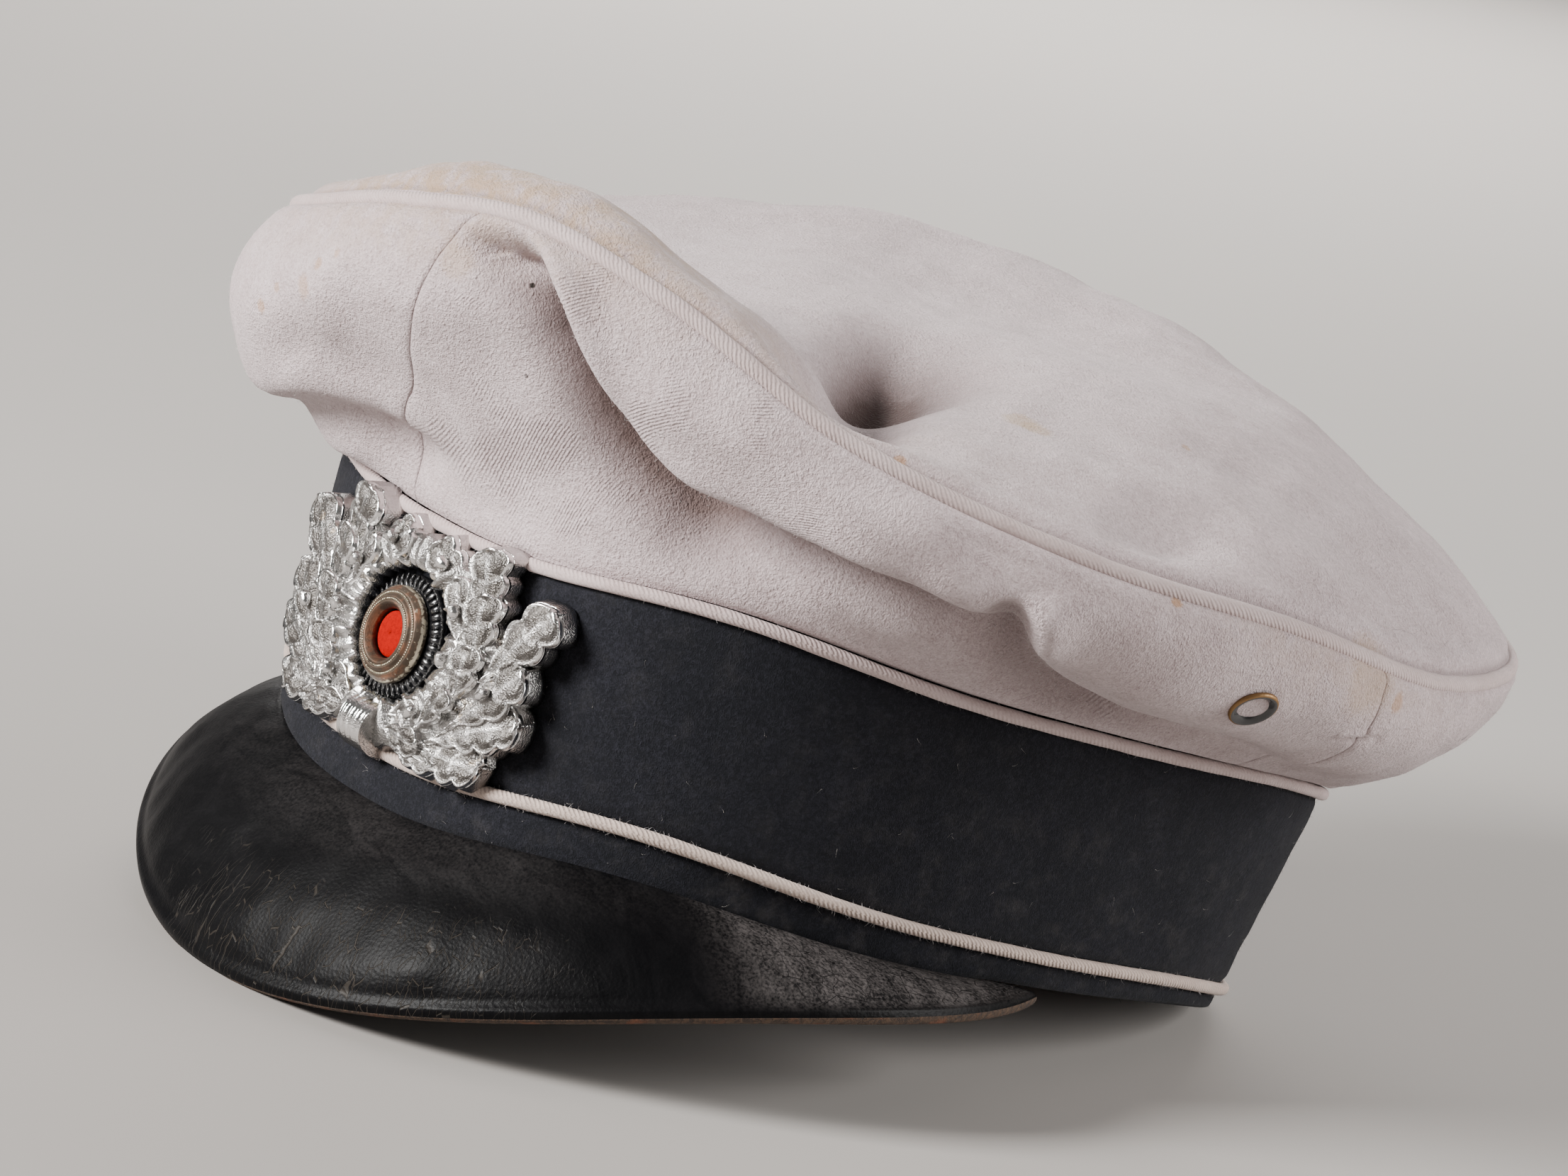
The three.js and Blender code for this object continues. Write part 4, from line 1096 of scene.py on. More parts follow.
@dataclass
class Band:
    """The black band, its hem and the two cords on its edges."""

    length: float = 201.0
    width: float = 170.0
    squareness: float = 2.43
    top_length: float = 203.5
    top_width: float = 177.0
    top_squareness: float = 2.64
    egg: float = -0.038
    height: float = 44.5
    wall: float = 2.2
    hem_front: float = 9.0
    hem_back: float = 3.6
    cord_radius: float = 1.3
    gap: float = 0.3
    waves: tuple[tuple[int, float], ...] = ((2, -0.059), (3, -0.013), (4, -0.0226), (5, -0.0227))
    steps: int = 420
    round_cap: float = 590.0
    overlap: float = 0.85

    @property
    def top(self) -> float:
        """Height of the upper cord's centre."""
        return self.hem_front + self.height

    def outward(self, turn: Any) -> np.ndarray:
        """Level direction straight out of the band."""
        t = np.radians(turn)
        return unit(np.stack([np.sin(t) * self.length, -np.cos(t) * self.width, np.zeros_like(t)], axis=-1))

    def face(self, turn: Any, height: Any, off: Any = 0.0) -> np.ndarray:
        """Points on the band.

        Args:
            turn: degrees from the front.
            height: mm over the hem's front edge.
            off: mm off the band's face.

        Returns:
            The points.
        """
        turn, height, off = np.broadcast_arrays(np.asarray(turn, float), height, off)
        c, s = np.cos(np.radians(turn)), np.sin(np.radians(turn))
        share = ((height - self.hem_front) / self.height)[..., None]
        rise = height + sum(part * self.height * np.cos(n * np.radians(turn)) for n, part in self.waves)

        def oval(length: float, width: float, squareness: float) -> np.ndarray:
            """The band's outline, between an ellipse and a rounded box."""
            across = width / 2 * np.sign(s) * np.abs(s) ** (2 / squareness) * (1 - self.egg * c)
            return np.stack([across, -length / 2 * np.sign(c) * np.abs(c) ** (2 / squareness), rise], axis=-1)

        low = oval(self.length, self.width, self.squareness)
        high = oval(self.top_length, self.top_width, self.top_squareness)
        return low + (high - low) * share + self.outward(turn) * off[..., None]

    def hem_depth(self, turn: Any) -> Any:
        """Depth of the hem under the lower cord's centre."""
        middle, half = (self.hem_front + self.hem_back) / 2, (self.hem_front - self.hem_back) / 2
        return middle + half * np.cos(np.radians(turn))

    def hem_foot(self, turn: Any) -> Any:
        """The hem's lower edge, a little past the peak's joint at the front."""
        return self.hem_front - self.hem_depth(turn) - self.overlap * (1 - smooth(np.abs(turn), 80, 92))

    def ring(
        self, name: str, low: Any, high: Any, rows: int, dust: Any, material: bpy.types.Material
    ) -> bpy.types.Object:
        """A ring of wool wall between two heights.

        Args:
            name: the object's name.
            low: lower edge by turn, or one height.
            high: upper edge, likewise.
            rows: rows of faces up it.
            dust: how dusty each row and turn is, as a function of turn and share up.
            material: its cloth.

        Returns:
            The object.
        """
        turns = np.linspace(-180.0, 180.0, self.steps, endpoint=False)
        t, share = np.meshgrid(turns, spaced(rows), indexing="ij")
        bottom = np.broadcast_to(low(t) if callable(low) else low, t.shape)
        level = bottom + (high - bottom) * share
        swell = 0.35 * ripple(self.face(t, level), 34.0, 11) + 0.12 * ripple(self.face(t, level), 9.0, 12)
        swell = swell * smooth(share, 0, 0.2) * smooth(1 - share, 0, 0.2)
        tall = high - np.min(bottom)
        tuck = -0.5 * hump(share * tall, 0.9) - 0.5 * hump((1 - share) * tall, 0.9)
        outer = self.face(t, level, np.minimum(swell, 0.35) + tuck)
        inner = self.face(t, level, -self.wall)
        shell = Shell()
        along = np.linspace(0.0, self.round_cap, self.steps + 1)
        add_wall(shell, outer, inner, CLOTH_EDGE, True, along, share[0] * tall, 4, grime=dust(t, share))
        return shell.build(name, [material])

    def build(self, finishes: Finishes) -> None:
        """Makes the band, hem and cords.

        Args:
            finishes: the cap's materials.
        """
        edge = self.cord_radius + 0.08
        band = self.ring("band_wool", self.hem_front + edge, self.top - edge, 28,
                         lambda t, s: 0.25 * hump(t - 95, 35) * (1 - s) + 0.12, finishes.black_wool)
        adopt(band, "black_wool", "band")
        hem = self.ring("hem_wool", self.hem_foot, self.hem_front - edge, 12,
                        lambda t, s: 0.35 * hump(t - 62, 30) + 0.15, finishes.black_wool)
        adopt(hem, "black_wool", "band_hem")
        for name, height, node in (("band_cord_lower", self.hem_front, "band_piping_lower"),
                                   ("band_cord_upper", self.top, "band_piping_upper")):
            cord = Cord(name, self.cord_radius)
            cloth = finishes.pale_cord if height < self.top else finishes.welt_cloth
            made = cord.build(lambda t, h=height: self.face(t, h, 0.35), self.outward, cloth)
            adopt(made, "pale_cord", node)


@dataclass(frozen=True)
class Crease:
    """A line pressed into the crown's wall, with a ridge beside it, in mm."""

    course: tuple[tuple[float, float], ...]
    depth: float
    width: float
    ridge: float = 0.0
    ridge_width: float = 1.0
    soft: float = 1.8

    def press(self, turn: np.ndarray, up: np.ndarray) -> np.ndarray:
        """How far the wall moves out.

        Args:
            turn: degrees from the front.
            up: share of the way up the wall.

        Returns:
            The moves in mm, negative where the wall is pressed in.
        """
        scale = np.array([WALL_RUN, WALL_TALL])
        knots = np.array(self.course) * scale
        fine = np.linspace(0, len(knots) - 1, 8 * (len(knots) - 1) + 1)
        i = np.clip(fine.astype(int), 0, len(knots) - 2)
        s = (fine - i)[:, None]
        before, after = knots[np.maximum(i - 1, 0)], knots[np.minimum(i + 2, len(knots) - 1)]
        a, b = knots[i], knots[i + 1]
        path = 0.5 * (2 * a + (b - before) * s + (2 * before - 5 * a + 4 * b - after) * s ** 2
                      + (3 * a - before - 3 * b + after) * s ** 3)
        place = np.stack([turn, up], axis=-1) * scale
        best = np.full(turn.shape, 1e9)
        side = np.ones(turn.shape)
        share = np.zeros(turn.shape)
        for k in range(len(path) - 1):
            leg = path[k + 1] - path[k]
            rel = place - path[k]
            at = np.clip((rel @ leg) / (leg @ leg), 0, 1)
            gap = rel - at[..., None] * leg
            away = np.linalg.norm(gap, axis=-1)
            nearer = away < best
            best = np.where(nearer, away, best)
            side = np.where(nearer, np.sign(leg[0] * rel[..., 1] - leg[1] * rel[..., 0]), side)
            share = np.where(nearer, (k + at) / (len(path) - 1), share)
        fade = smooth(share, 0.0, 0.16) * smooth(1.0 - share, 0.0, 0.16)
        signed = best * side
        valley = -self.depth * hump(best, np.where(side < 0, self.width * self.soft, self.width))
        ridge = self.ridge * hump(signed - self.width * 1.7, self.width * self.ridge_width)
        return (valley + ridge) * fade


@dataclass(frozen=True)
class Swell:
    """A soft rise of the crown's wall: its middle, its spans in mm and its height."""

    turn: float
    up: float
    wide: float
    tall: float
    height: float

    def lift(self, turn: np.ndarray, up: np.ndarray) -> np.ndarray:
        """How far the wall moves out, in mm."""
        along, across = (turn - self.turn) * WALL_RUN / self.wide, (up - self.up) * WALL_TALL / self.tall
        return self.height * np.exp(-along ** 2 - across ** 2)


SECTIONS = RoundTable(("rise", "lift", "foot", "hang_out", "hang_down", "dish", "roll"), (
    (-180, 0.93, 25, 0.26, 0.08, 0.24, 0.26, 0.08), (-150, 1.13, 25, 0.28, 0.12, 0.4, 0.28, 0.08),
    (-120, 1.22, 35, 0.4, 0.14, 0.48, 0.26, 0.08), (-90, 1.06, 35, 0.44, 0.16, 0.48, 0.14, 0.08),
    (-70, 0.91, 35, 0.44, 0.2, 0.44, 0, 0.04), (-45, 0.79, 5, 0.4, 0.28, 0.4, -0.14, 0.04),
    (-20, 0.87, -8, 0.44, 0.34, 0.48, -0.26, 0.12), (0, 1.05, 70, 0.52, 0.28, 0.52, -0.28, 0.2),
    (15, 1.16, 80, 0.6, 0.16, 0.44, -0.24, 0.16), (30, 1.08, 70, 0.52, 0.12, 0.4, -0.2, 0.06),
    (48, 0.84, 55, 0.44, 0.16, 0.36, -0.04, 0.04), (70, 0.73, 40, 0.36, 0.2, 0.36, 0.04, 0.06),
    (90, 0.73, 22, 0.32, 0.2, 0.36, 0.12, 0.08), (110, 0.67, 8, 0.3, 0.16, 0.32, 0.16, 0.08),
    (130, 0.73, 15, 0.26, 0.08, 0.24, 0.16, 0.08), (155, 0.81, 25, 0.24, 0.06, 0.2, 0.18, 0.08),
    (180, 0.93, 25, 0.26, 0.08, 0.24, 0.26, 0.08)))

FOLD = RoundTable(("up", "depth", "width"), (
    (-180, 0.25, 0, 0.12), (8, 1, 0, 0.12), (16, 0.88, 0.06, 0.1), (21, 0.6, 0.11, 0.13),
    (28, 0.33, 0.13, 0.13), (42, 0.28, 0.13, 0.13), (58, 0.4, 0.1, 0.13), (72, 0.36, 0.12, 0.12),
    (84, 0.24, 0.11, 0.12), (100, 0.22, 0.06, 0.12), (125, 0.25, 0, 0.12), (180, 0.25, 0, 0.12)))

CREASES = (
    Crease(((11, 1.02), (13.9, 0.93), (16.6, 0.86), (19.2, 0.76), (20.8, 0.62), (21.8, 0.48), (24.0, 0.36),
            (28.5, 0.29), (36, 0.26), (44, 0.28)), 9.2, 3.6, 2.6, 1.3, soft=2.1),
    Crease(((27, 0.27), (42, 0.27), (51.7, 0.37), (56.4, 0.42), (61, 0.44), (68, 0.4)), 3.0, 4.2, 1.8, 1.8),
    Crease(((64.2, 0.74), (66.7, 0.62), (69.2, 0.45), (72.9, 0.3), (77.2, 0.22), (83.9, 0.17), (94, 0.16)),
           4.4, 3.0, 3.0, 1.5),
    Crease(((-58, 0.27), (-40, 0.26), (-24, 0.26), (-12, 0.25), (-4, 0.2), (2, 0.12)), 3.4, 3.4, 1.2, 1.4),
    Crease(((-9, 0.95), (-10, 0.8), (-11, 0.6), (-10, 0.42)), 0.9, 6.0, 0.4),
    Crease(((9.6, 1.0), (11.4, 0.95), (12.6, 0.88)), 0.9, 1.6, 0.5),
    Crease(((99.2, 0.61), (101.5, 0.655), (104.6, 0.72)), 0.9, 0.8, 0.6),
    Crease(((28, 0.55), (38, 0.52), (50, 0.6), (60, 0.7)), 0.7, 7.0, 0.5),
)

SWELLS = (
    Swell(33, 0.62, 14, 13, 1.6), Swell(84, 0.5, 14, 10, 2.6), Swell(55, 0.7, 16, 10, 1.2),
    Swell(-14, 0.09, 14, 4, 2.0), Swell(-30, 0.55, 22, 10, 1.0), Swell(4, 0.3, 9, 12, 0.8),
)


@dataclass(frozen=True)
class Dent:
    """A dent in the crown's top: middle, heading and spans, as the solid has them."""

    across: float
    along: float
    heading: float
    reach: float
    spread: float
    depth: float


@dataclass
class Crown:
    """The soft crown: a dished top and three wall panels, with a corded seam round the rim."""

    band: Band
    length: float = 272.0
    width: float = 244.0
    rise: float = 50.0
    middle_rise: float = 65.0
    reach: float = 128.0
    cloth: float = 1.6
    welt_radius: float = 1.5
    hollow_depth: float = 14.5
    hollow_heading: float = 43.0
    front_seam: tuple[tuple[float, float], ...] = (
        (0.0, -3.6), (0.2, -2.4), (0.38, 0.2), (0.52, 1.9), (0.7, 4.9), (0.84, 7.0), (0.92, 8.4), (1.0, 9.8))
    side_seam: float = 102.0
    dents: tuple[Dent, ...] = (
        Dent(0.56, -0.55, 130, 0.72, 0.3, 0.14), Dent(0.2, -0.25, 140, 0.9, 0.44, 0.1),
        Dent(0.88, -0.22, 100, 0.4, 0.16, 0.05), Dent(0.615, -0.595, 131, 0.44, 0.17, 0.15),
        Dent(0.906, -0.2, 100, 0.2, 0.07, 0.035), Dent(0.48, -0.3, 150, 0.5, 0.14, 0.02),
        Dent(0.7, 0.1, 60, 0.6, 0.16, 0.02))

    @property
    def seam_gap(self) -> float:
        """How far from the welt's centre the cloth ends."""
        return self.welt_radius - 0.4

    def part(self, name: str, turn: Any) -> np.ndarray:
        """One of the sections' values."""
        return SECTIONS.value(name, turn)

    def mean(self, name: str) -> float:
        """A section value's mean round the cap."""
        return float(np.mean(self.part(name, np.arange(0.0, 360.0, 10.0))))

    def rim(self, turn: Any) -> np.ndarray:
        """Centre of the rim's welt.

        Args:
            turn: degrees from the front, positive to the wearer's left.

        Returns:
            The points.
        """
        t = np.radians(turn)
        height = self.band.top + self.part("rise", turn) * self.rise
        return np.stack([self.width / 2 * np.sin(t), -self.length / 2 * np.cos(t), height], axis=-1)

    def plain_wall(self, turn: Any, up: Any) -> np.ndarray:
        """The wall before its folds, from the band (0) to the welt (1).

        Args:
            turn: degrees from the front, positive to the wearer's left.
            up: share of the way up.

        Returns:
            The points.
        """
        turn, up = np.broadcast_arrays(np.asarray(turn, float), up)
        level = self.band.outward(turn)
        z = np.array([0.0, 0.0, 1.0])
        lift = np.radians(self.part("lift", turn))[..., None]
        foot = (self.part("foot", turn) * self.rise)[..., None]
        start = self.band.face(turn, self.band.top + self.band.cord_radius + 0.05)
        rim = self.rim(turn)
        first = start + level * foot * np.cos(lift) + z * foot * np.sin(lift)
        hang_out, hang_down = self.part("hang_out", turn)[..., None], self.part("hang_down", turn)[..., None]
        last = rim + (level * hang_out - z * hang_down) * self.rise
        end = rim + unit(last - rim) * self.seam_gap
        u = up[..., None]
        return (1 - u) ** 3 * start + 3 * (1 - u) ** 2 * u * first + 3 * (1 - u) * u * u * last + u ** 3 * end

    def wall(self, turn: Any, up: Any, depth: float = 0.0) -> np.ndarray:
        """The wall with its folds and creases, offset inward by a depth.

        Args:
            turn: degrees from the front, positive to the wearer's left.
            up: share of the way up.
            depth: how far inward, in mm.

        Returns:
            The points.
        """
        turn, up = np.broadcast_arrays(np.asarray(turn, float), up)
        normal = surface_normal(self.plain_wall, turn, np.clip(up, 0.01, 0.99), 0.5, 0.01)
        reach = (up - FOLD.value("up", turn)) / FOLD.value("width", turn)
        ends = smooth(up, 0, 0.12) * (1 - smooth(up, 0.88, 1))
        move = -np.maximum(FOLD.value("depth", turn), 0) * self.rise * np.exp(-reach * reach) * ends
        soft_ends = smooth(up, 0, 0.14) * (1 - smooth(up, 0.9, 1))
        for crease in CREASES:
            move = move + crease.press(turn, up) * soft_ends
        for swell in SWELLS:
            move = move + swell.lift(turn, up) * soft_ends
        plain = self.plain_wall(turn, up)
        move = move + (0.55 * ripple(plain, 30.0, 21) + 0.22 * ripple(plain, 11.0, 22)) * soft_ends
        return plain + normal * (move - depth)[..., None]

    def top(self, turn: Any, out: Any) -> np.ndarray:
        """The top, from its middle (0) to the rim (1).

        Args:
            turn: degrees from the front, positive to the wearer's left.
            out: share of the way out.

        Returns:
            The points.
        """
        turn, out = np.broadcast_arrays(np.asarray(turn, float), out)
        rim = self.rim(turn)
        local = smooth(out, 0, 0.6)
        dish = self.mean("dish") + (self.part("dish", turn) - self.mean("dish")) * local
        edge = self.band.top + self.mean("rise") * self.rise
        edge = edge + (rim[..., 2] - edge) * local
        middle = self.band.top + self.middle_rise
        z = middle + (edge - middle) * out ** 2
        z = z + 16 * dish * out ** 2 * (1 - out) ** 2 * self.rise
        z = z + 17.6 * self.part("roll", turn) * out ** 6 * (1 - out) * self.rise
        x, y = rim[..., 0] * out, rim[..., 1] * out
        hold = 1 - smooth(out, 0.9, 1)
        for dent in self.dents:
            across = (x - dent.across * self.width / 2) / self.rise
            along = (y - dent.along * self.length / 2) / self.rise
            c, s = math.cos(math.radians(dent.heading)), math.sin(math.radians(dent.heading))
            long, wide = (across * c + along * s) / dent.reach, (along * c - across * s) / dent.spread
            z = z - dent.depth * self.rise * np.exp(-long * long - wide * wide) * hold
        z = z - self.hollow_depth * self.hollow(x, y)
        point = np.stack([x, y, z], axis=-1)
        flat = point * np.array([1.0, 1.0, 0.0])
        soft = 0.6 * ripple(flat, 36.0, 31) + 0.25 * ripple(flat, 12.0, 32)
        point[..., 2] += soft * (1 - smooth(out, 0.93, 1.0)) * smooth(out, 0.0, 0.1)
        point[..., 2] += 2.0 * hump(turn - 30, 24) * hump(out - 0.945, 0.035)
        return point

    def hollow(self, x: np.ndarray, y: np.ndarray) -> np.ndarray:
        """How deep the sharp hollow behind the front roll is.

        Args:
            x: mm to the wearer's left.
            y: mm to the back.

        Returns:
            The share.
        """
        heading = math.radians(self.hollow_heading)
        c, s = math.cos(heading), math.sin(heading)
        along, across = x * s - y * c, x * c + y * s
        run = hump(along - 60, np.where(along < 60, 26.0, 20.0))
        return run * hump(across + 3.0, np.where(across < -3.0, 8.0, 14.0))

    def rim_out(self, turn: Any) -> np.ndarray:
        """Direction out of the rim, between the top's and the wall's.

        Args:
            turn: degrees from the front, positive to the wearer's left.

        Returns:
            The directions.
        """
        upward = -surface_normal(self.top, turn, np.full(np.shape(turn), 0.985), 0.5, 0.004)
        sideways = surface_normal(self.plain_wall, turn, np.full(np.shape(turn), 0.97), 0.5, 0.01)
        return unit(upward + sideways)

    def seam_turn(self, up: Any) -> np.ndarray:
        """Turn of the front seam, which leans with the crown."""
        table = np.array(self.front_seam)
        return np.interp(up, table[:, 0], table[:, 1])

    def panel(self, name: str, start: Callable[[Any], Any], end: Callable[[Any], Any], steps: int, rows: int,
              material: bpy.types.Material) -> bpy.types.Object:
        """One panel of the wall.

        Args:
            name: the object's name.
            start: turn of its first edge by share up.
            end: turn of its last edge.
            steps: faces along it.
            rows: faces up it.
            material: its cloth.

        Returns:
            The object.
        """
        s, up = np.meshgrid(spaced(steps), spaced(rows), indexing="ij")
        inset = 0.03
        low, high = start(up) + inset, end(up) - inset
        turn = low + (high - low) * s
        outer = self.wall(turn, up)
        inner = self.wall(turn, up, self.cloth)
        normal = unit(outer - inner)
        from_seam = np.minimum(s, 1 - s) * (high - low) * WALL_RUN
        from_rim, from_band = (1 - up) * WALL_TALL, up * WALL_TALL
        tuck = (-0.2 * hump(from_seam, 0.4) + 0.1 * hump(from_seam - 1.8, 1.3)) * smooth(up, 0.0, 0.1)
        tuck = tuck - 0.5 * hump(from_rim, 0.8) + 0.38 * hump(from_rim - 2.6, 1.7)
        tuck = tuck - 0.35 * hump(from_band, 0.7) + 0.2 * hump(from_band - 2.2, 1.4)
        outer = outer + normal * tuck[..., None]
        # Painted shade: the wall is darkened under the belly near turn 54 (partly soil there) and in the
        # valleys of the first three creases.
        soil_and_shade = 0.5 * hump((turn - 54) * WALL_RUN, 20) * hump((up - 0.4) * WALL_TALL, 4.5)
        for crease in CREASES[:3]:
            soil_and_shade = soil_and_shade + 1.15 * np.clip(-crease.press(turn, up) / 8.0, 0, 1) * (1 - smooth(up, 0.72, 0.86))
        worn = 0.8 * hump((turn - 14) * WALL_RUN, 26) * hump((up - 0.2) * WALL_TALL, 12)
        stain = 0.55 * hump(turn - 4, 26) * smooth(up, 0.72, 1.0)
        stain = stain + 0.35 * hump(turn - 96, 16) * smooth(up, 0.6, 1.0)
        grime = 0.2 * hump(from_seam, 0.35) + 0.4 * hump(from_rim, 0.6) + 0.2 * hump(from_band, 0.8) + soil_and_shade
        shell = Shell()
        along = s[:, 0] * abs(float(high[0, 0] - low[0, 0])) * WALL_RUN
        add_wall(shell, outer, inner, CLOTH_EDGE, False, along, from_band[0], 4,
                 grime=grime, stain=stain, worn=worn)
        return shell.build(name, [material])

    def lid(self, material: bpy.types.Material) -> bpy.types.Object:
        """The dished top, closed all round.

        Args:
            material: its cloth.

        Returns:
            The object.
        """
        steps, rings = 400, 92
        limit = 1 - self.seam_gap / (self.width / 2)
        out = limit * spaced(rings, both=False)[1:]
        turns = np.linspace(-180, 180, steps, endpoint=False)
        t, o = np.meshgrid(turns, out, indexing="ij")
        outer = self.top(t, o)
        normal = -surface_normal(self.top, t, o, 0.5, 0.004)
        from_rim = (1 - o) * self.reach - 1.6
        tuck = -0.5 * hump(from_rim, 0.8) + 0.42 * hump(from_rim - 2.6, 1.7)
        inner = (outer - normal * self.cloth)[:, 3::4]
        outer = outer + normal * tuck[..., None]
        shell = Shell()
        behind = smooth(o, 0.7, 0.86) * hump(t - 6, 34)
        far = smooth(o, 0.72, 0.95) * hump(t + 62, 30) * 0.35
        # Painted shade: the hollow behind the front roll is darkened strongly and the far part of the top
        # near turn -80 a little; the cloth is also darker along the rim.
        grime = 0.4 * hump(from_rim, 0.6) + 1.35 * self.hollow(outer[..., 0], outer[..., 1])
        grime = grime + 0.13 * smooth(o, 0.3, 0.8) * hump(t + 80, 60)
        brim = rounded_edge(outer, inner, -1, -2, CLOTH_EDGE)
        sheet = np.concatenate([outer, brim, inner[:, ::-1]], axis=1)
        hidden = np.zeros((steps, sheet.shape[1] - rings))
        values = {name: np.concatenate([value, hidden], axis=1) for name, value in (
            ("stain", np.maximum(behind, far)), ("grime", grime), ("air", np.ones((steps, rings))))}
        first = shell.add_grid(sheet, ring=True, flip=True, **values)
        size = sheet.shape[1]
        place = sheet[:, :, :2]
        loops = np.array(shell.faces)
        flat = place.reshape(-1, 2)
        shell.corners[-1] = flat[(loops - first).ravel()]
        middle = self.top(np.array(0.0), np.array(0.0))
        for column, centre, turned in ((0, middle, False), (size - 1, middle - [0, 0, self.cloth], True)):
            hub = shell.add_points(centre[None])
            i = np.arange(steps)
            ring = first + i * size + column
            following = first + ((i + 1) % steps) * size + column
            fan = np.stack([np.full(steps, hub), ring, following], axis=1)
            shell.add_faces(fan[:, ::-1] if turned else fan)
        return shell.build("crown_lid", [material])

    def build(self, finishes: Finishes) -> None:
        """Makes the top, panels and welt.

        Args:
            finishes: the cap's materials.
        """

        def upright(turn: float) -> Callable[[Any], Any]:
            """A seam at the same turn all the way up."""
            return lambda up: turn + 0 * up

        wool = finishes.pale_wool
        adopt(self.lid(wool), "pale_wool", "crown_top")
        side = self.side_seam
        eyelets = Eyelets(self)
        left = self.panel("crown_panel_left", self.seam_turn, upright(side), 250, 84, wool)
        adopt(eyelets.pierce(left, 1), "pale_wool", "crown_side_left")
        right = self.panel("crown_panel_right", upright(-side), self.seam_turn, 200, 64, wool)
        adopt(eyelets.pierce(right, -1), "pale_wool", "crown_side_right")
        back = self.panel("crown_panel_back", upright(side), upright(360 - side), 240, 50, wool)
        adopt(back, "pale_wool", "crown_side_back")
        welt = Cord("crown_welt", 1.68, steps=1000, flatness=0.8, sink=0.72)
        adopt(welt.build(self.rim, self.rim_out, finishes.welt_cloth), "pale_cord", "crown_piping")


@dataclass
class Peak:
    """The leather peak: a crowned shell with a raw edge."""

    band: Band
    width: float = 200.0
    length: float = 128.0
    drop: float = 45.0
    sweep: float = 121.0
    crowning: float = 5.0
    wall: float = 2.6
    ends: float = 0.985
    leather_width: float = 62.0
    lip: float = 0.5
    half_turn: float = 88.0

    def edge(self, share: np.ndarray) -> np.ndarray:
        """The free edge, from the right end (-1) to the left (1).

        Args:
            share: places along it.

        Returns:
            The points.
        """
        a = np.radians(share * self.sweep)
        reach = self.length / (1 - math.cos(math.radians(self.sweep)))
        back = self.band.face(90.0, self.band.hem_front)[1] + self.band.hem_front - 1.5
        drop = 0.2 + 0.597 * np.cos(a) + 0.132 * np.cos(2 * a) + 0.071 * np.cos(3 * a)
        y = -(self.length - reach + reach * np.cos(a)) + back
        return np.stack([self.width / 2 * np.sin(a), y, -self.drop * drop], axis=-1)

    def face(self, share: Any, out: Any) -> np.ndarray:
        """The upper face, from the hem (0) to the free edge (1).

        Args:
            share: places along the peak, from -1 to 1.
            out: share of the way out.

        Returns:
            The points.
        """
        share, out = np.broadcast_arrays(np.asarray(share, float), out)
        turn = share * self.half_turn
        gap = self.band.gap
        seam = self.band.face(turn, self.band.hem_front - self.band.hem_depth(turn) - 2 * gap, -gap)
        edge = self.edge(share)
        slope = edge - seam
        upright = np.broadcast_to(np.array([0.0, 0.0, 1.0]), slope.shape)
        swell = -unit(np.cross(np.cross(upright, slope), slope))
        size = np.minimum(1, np.linalg.norm(slope, axis=-1, keepdims=True) / self.drop) ** 2
        middle = (seam + edge) / 2 + swell * 2 * self.crowning * size
        o = out[..., None]
        return (1 - o) ** 2 * seam + 2 * (1 - o) * o * middle + o * o * edge

    def build(self, finishes: Finishes) -> None:
        """Makes the peak.

        Args:
            finishes: the cap's materials.
        """
        steps, rows = 360, 58
        s, o = np.meshgrid(np.linspace(-self.ends, self.ends, steps + 1), np.linspace(0, 1, rows + 1) ** 0.92,
                           indexing="ij")
        upper = self.face(s, o)
        normal = surface_normal(self.face, s, np.clip(o, 0.01, 0.99), 0.01, 0.01)
        lower = upper + normal * self.wall
        span = np.linalg.norm(upper[:, -1] - upper[:, 0], axis=-1)[:, None]
        from_edge = (1 - o) * span
        dimple = 0.55 * ripple(upper, 30.0, 41) + 0.18 * ripple(upper, 12.0, 42)
        dimple = dimple * smooth(from_edge, 0.5, 9) * smooth(o, 0, 0.1) * smooth(span, 12, 40)
        lip = 0.3 * hump(from_edge - 1.2, 0.8) - 0.2 * hump(from_edge - 3.4, 1.0)
        upper = upper - normal * (dimple + lip * smooth(span, 8, 25))[..., None]
        inset = 0.55 * hump(from_edge, 0.7)
        upper = upper + normal * inset[..., None]
        shell = Shell()
        along = np.cumsum(np.r_[0, np.linalg.norm(np.diff(self.edge(s[:, 0]), axis=0), axis=1)])
        dusty = 0.5 * hump(s - 0.1, 0.35) * (1 - smooth(o, 0.1, 0.5)) + 0.03 + 0.25 * smooth(-s, 0.1, 0.5)
        parched = smooth(s, 0.52, 0.66) * (1 - smooth(s, 0.97, 1.0)) * (1 - smooth(o, 0.82, 1.0))
        cracked = hump(s - 0.1, 0.26) * smooth(o, 0.3, 0.6) + 0.3 * hump(s - 0.3, 0.16)
        dull = 0.6 * hump(s + 0.2, 0.45) * (1 - smooth(o, 0.55, 0.95))
        add_wall(shell, upper[:, ::-1], lower[:, ::-1], self.lip, False, along,
                 (np.linspace(0, 1, rows + 1) * self.leather_width)[::-1].copy(),
                 dusty=dusty[:, ::-1], parched=parched[:, ::-1], cracked=cracked[:, ::-1], dull=dull[:, ::-1])
        around = 2 * (rows + 1) + 8
        slots = np.zeros(around, int)
        slots[around - 5:] = 1
        shell.slots[:steps * around] = np.tile(slots, steps).tolist()
        piece = shell.build("peak_leather", [finishes.leather, finishes.raw_edge])
        adopt(piece, "black_leather", "peak")


@dataclass(frozen=True)
class Leaf:
    """One oak leaf of the wreath, measured as shares from the middle of its foot."""

    base_x: float
    base_up: float
    tip_x: float
    tip_up: float
    width: float
    top: float


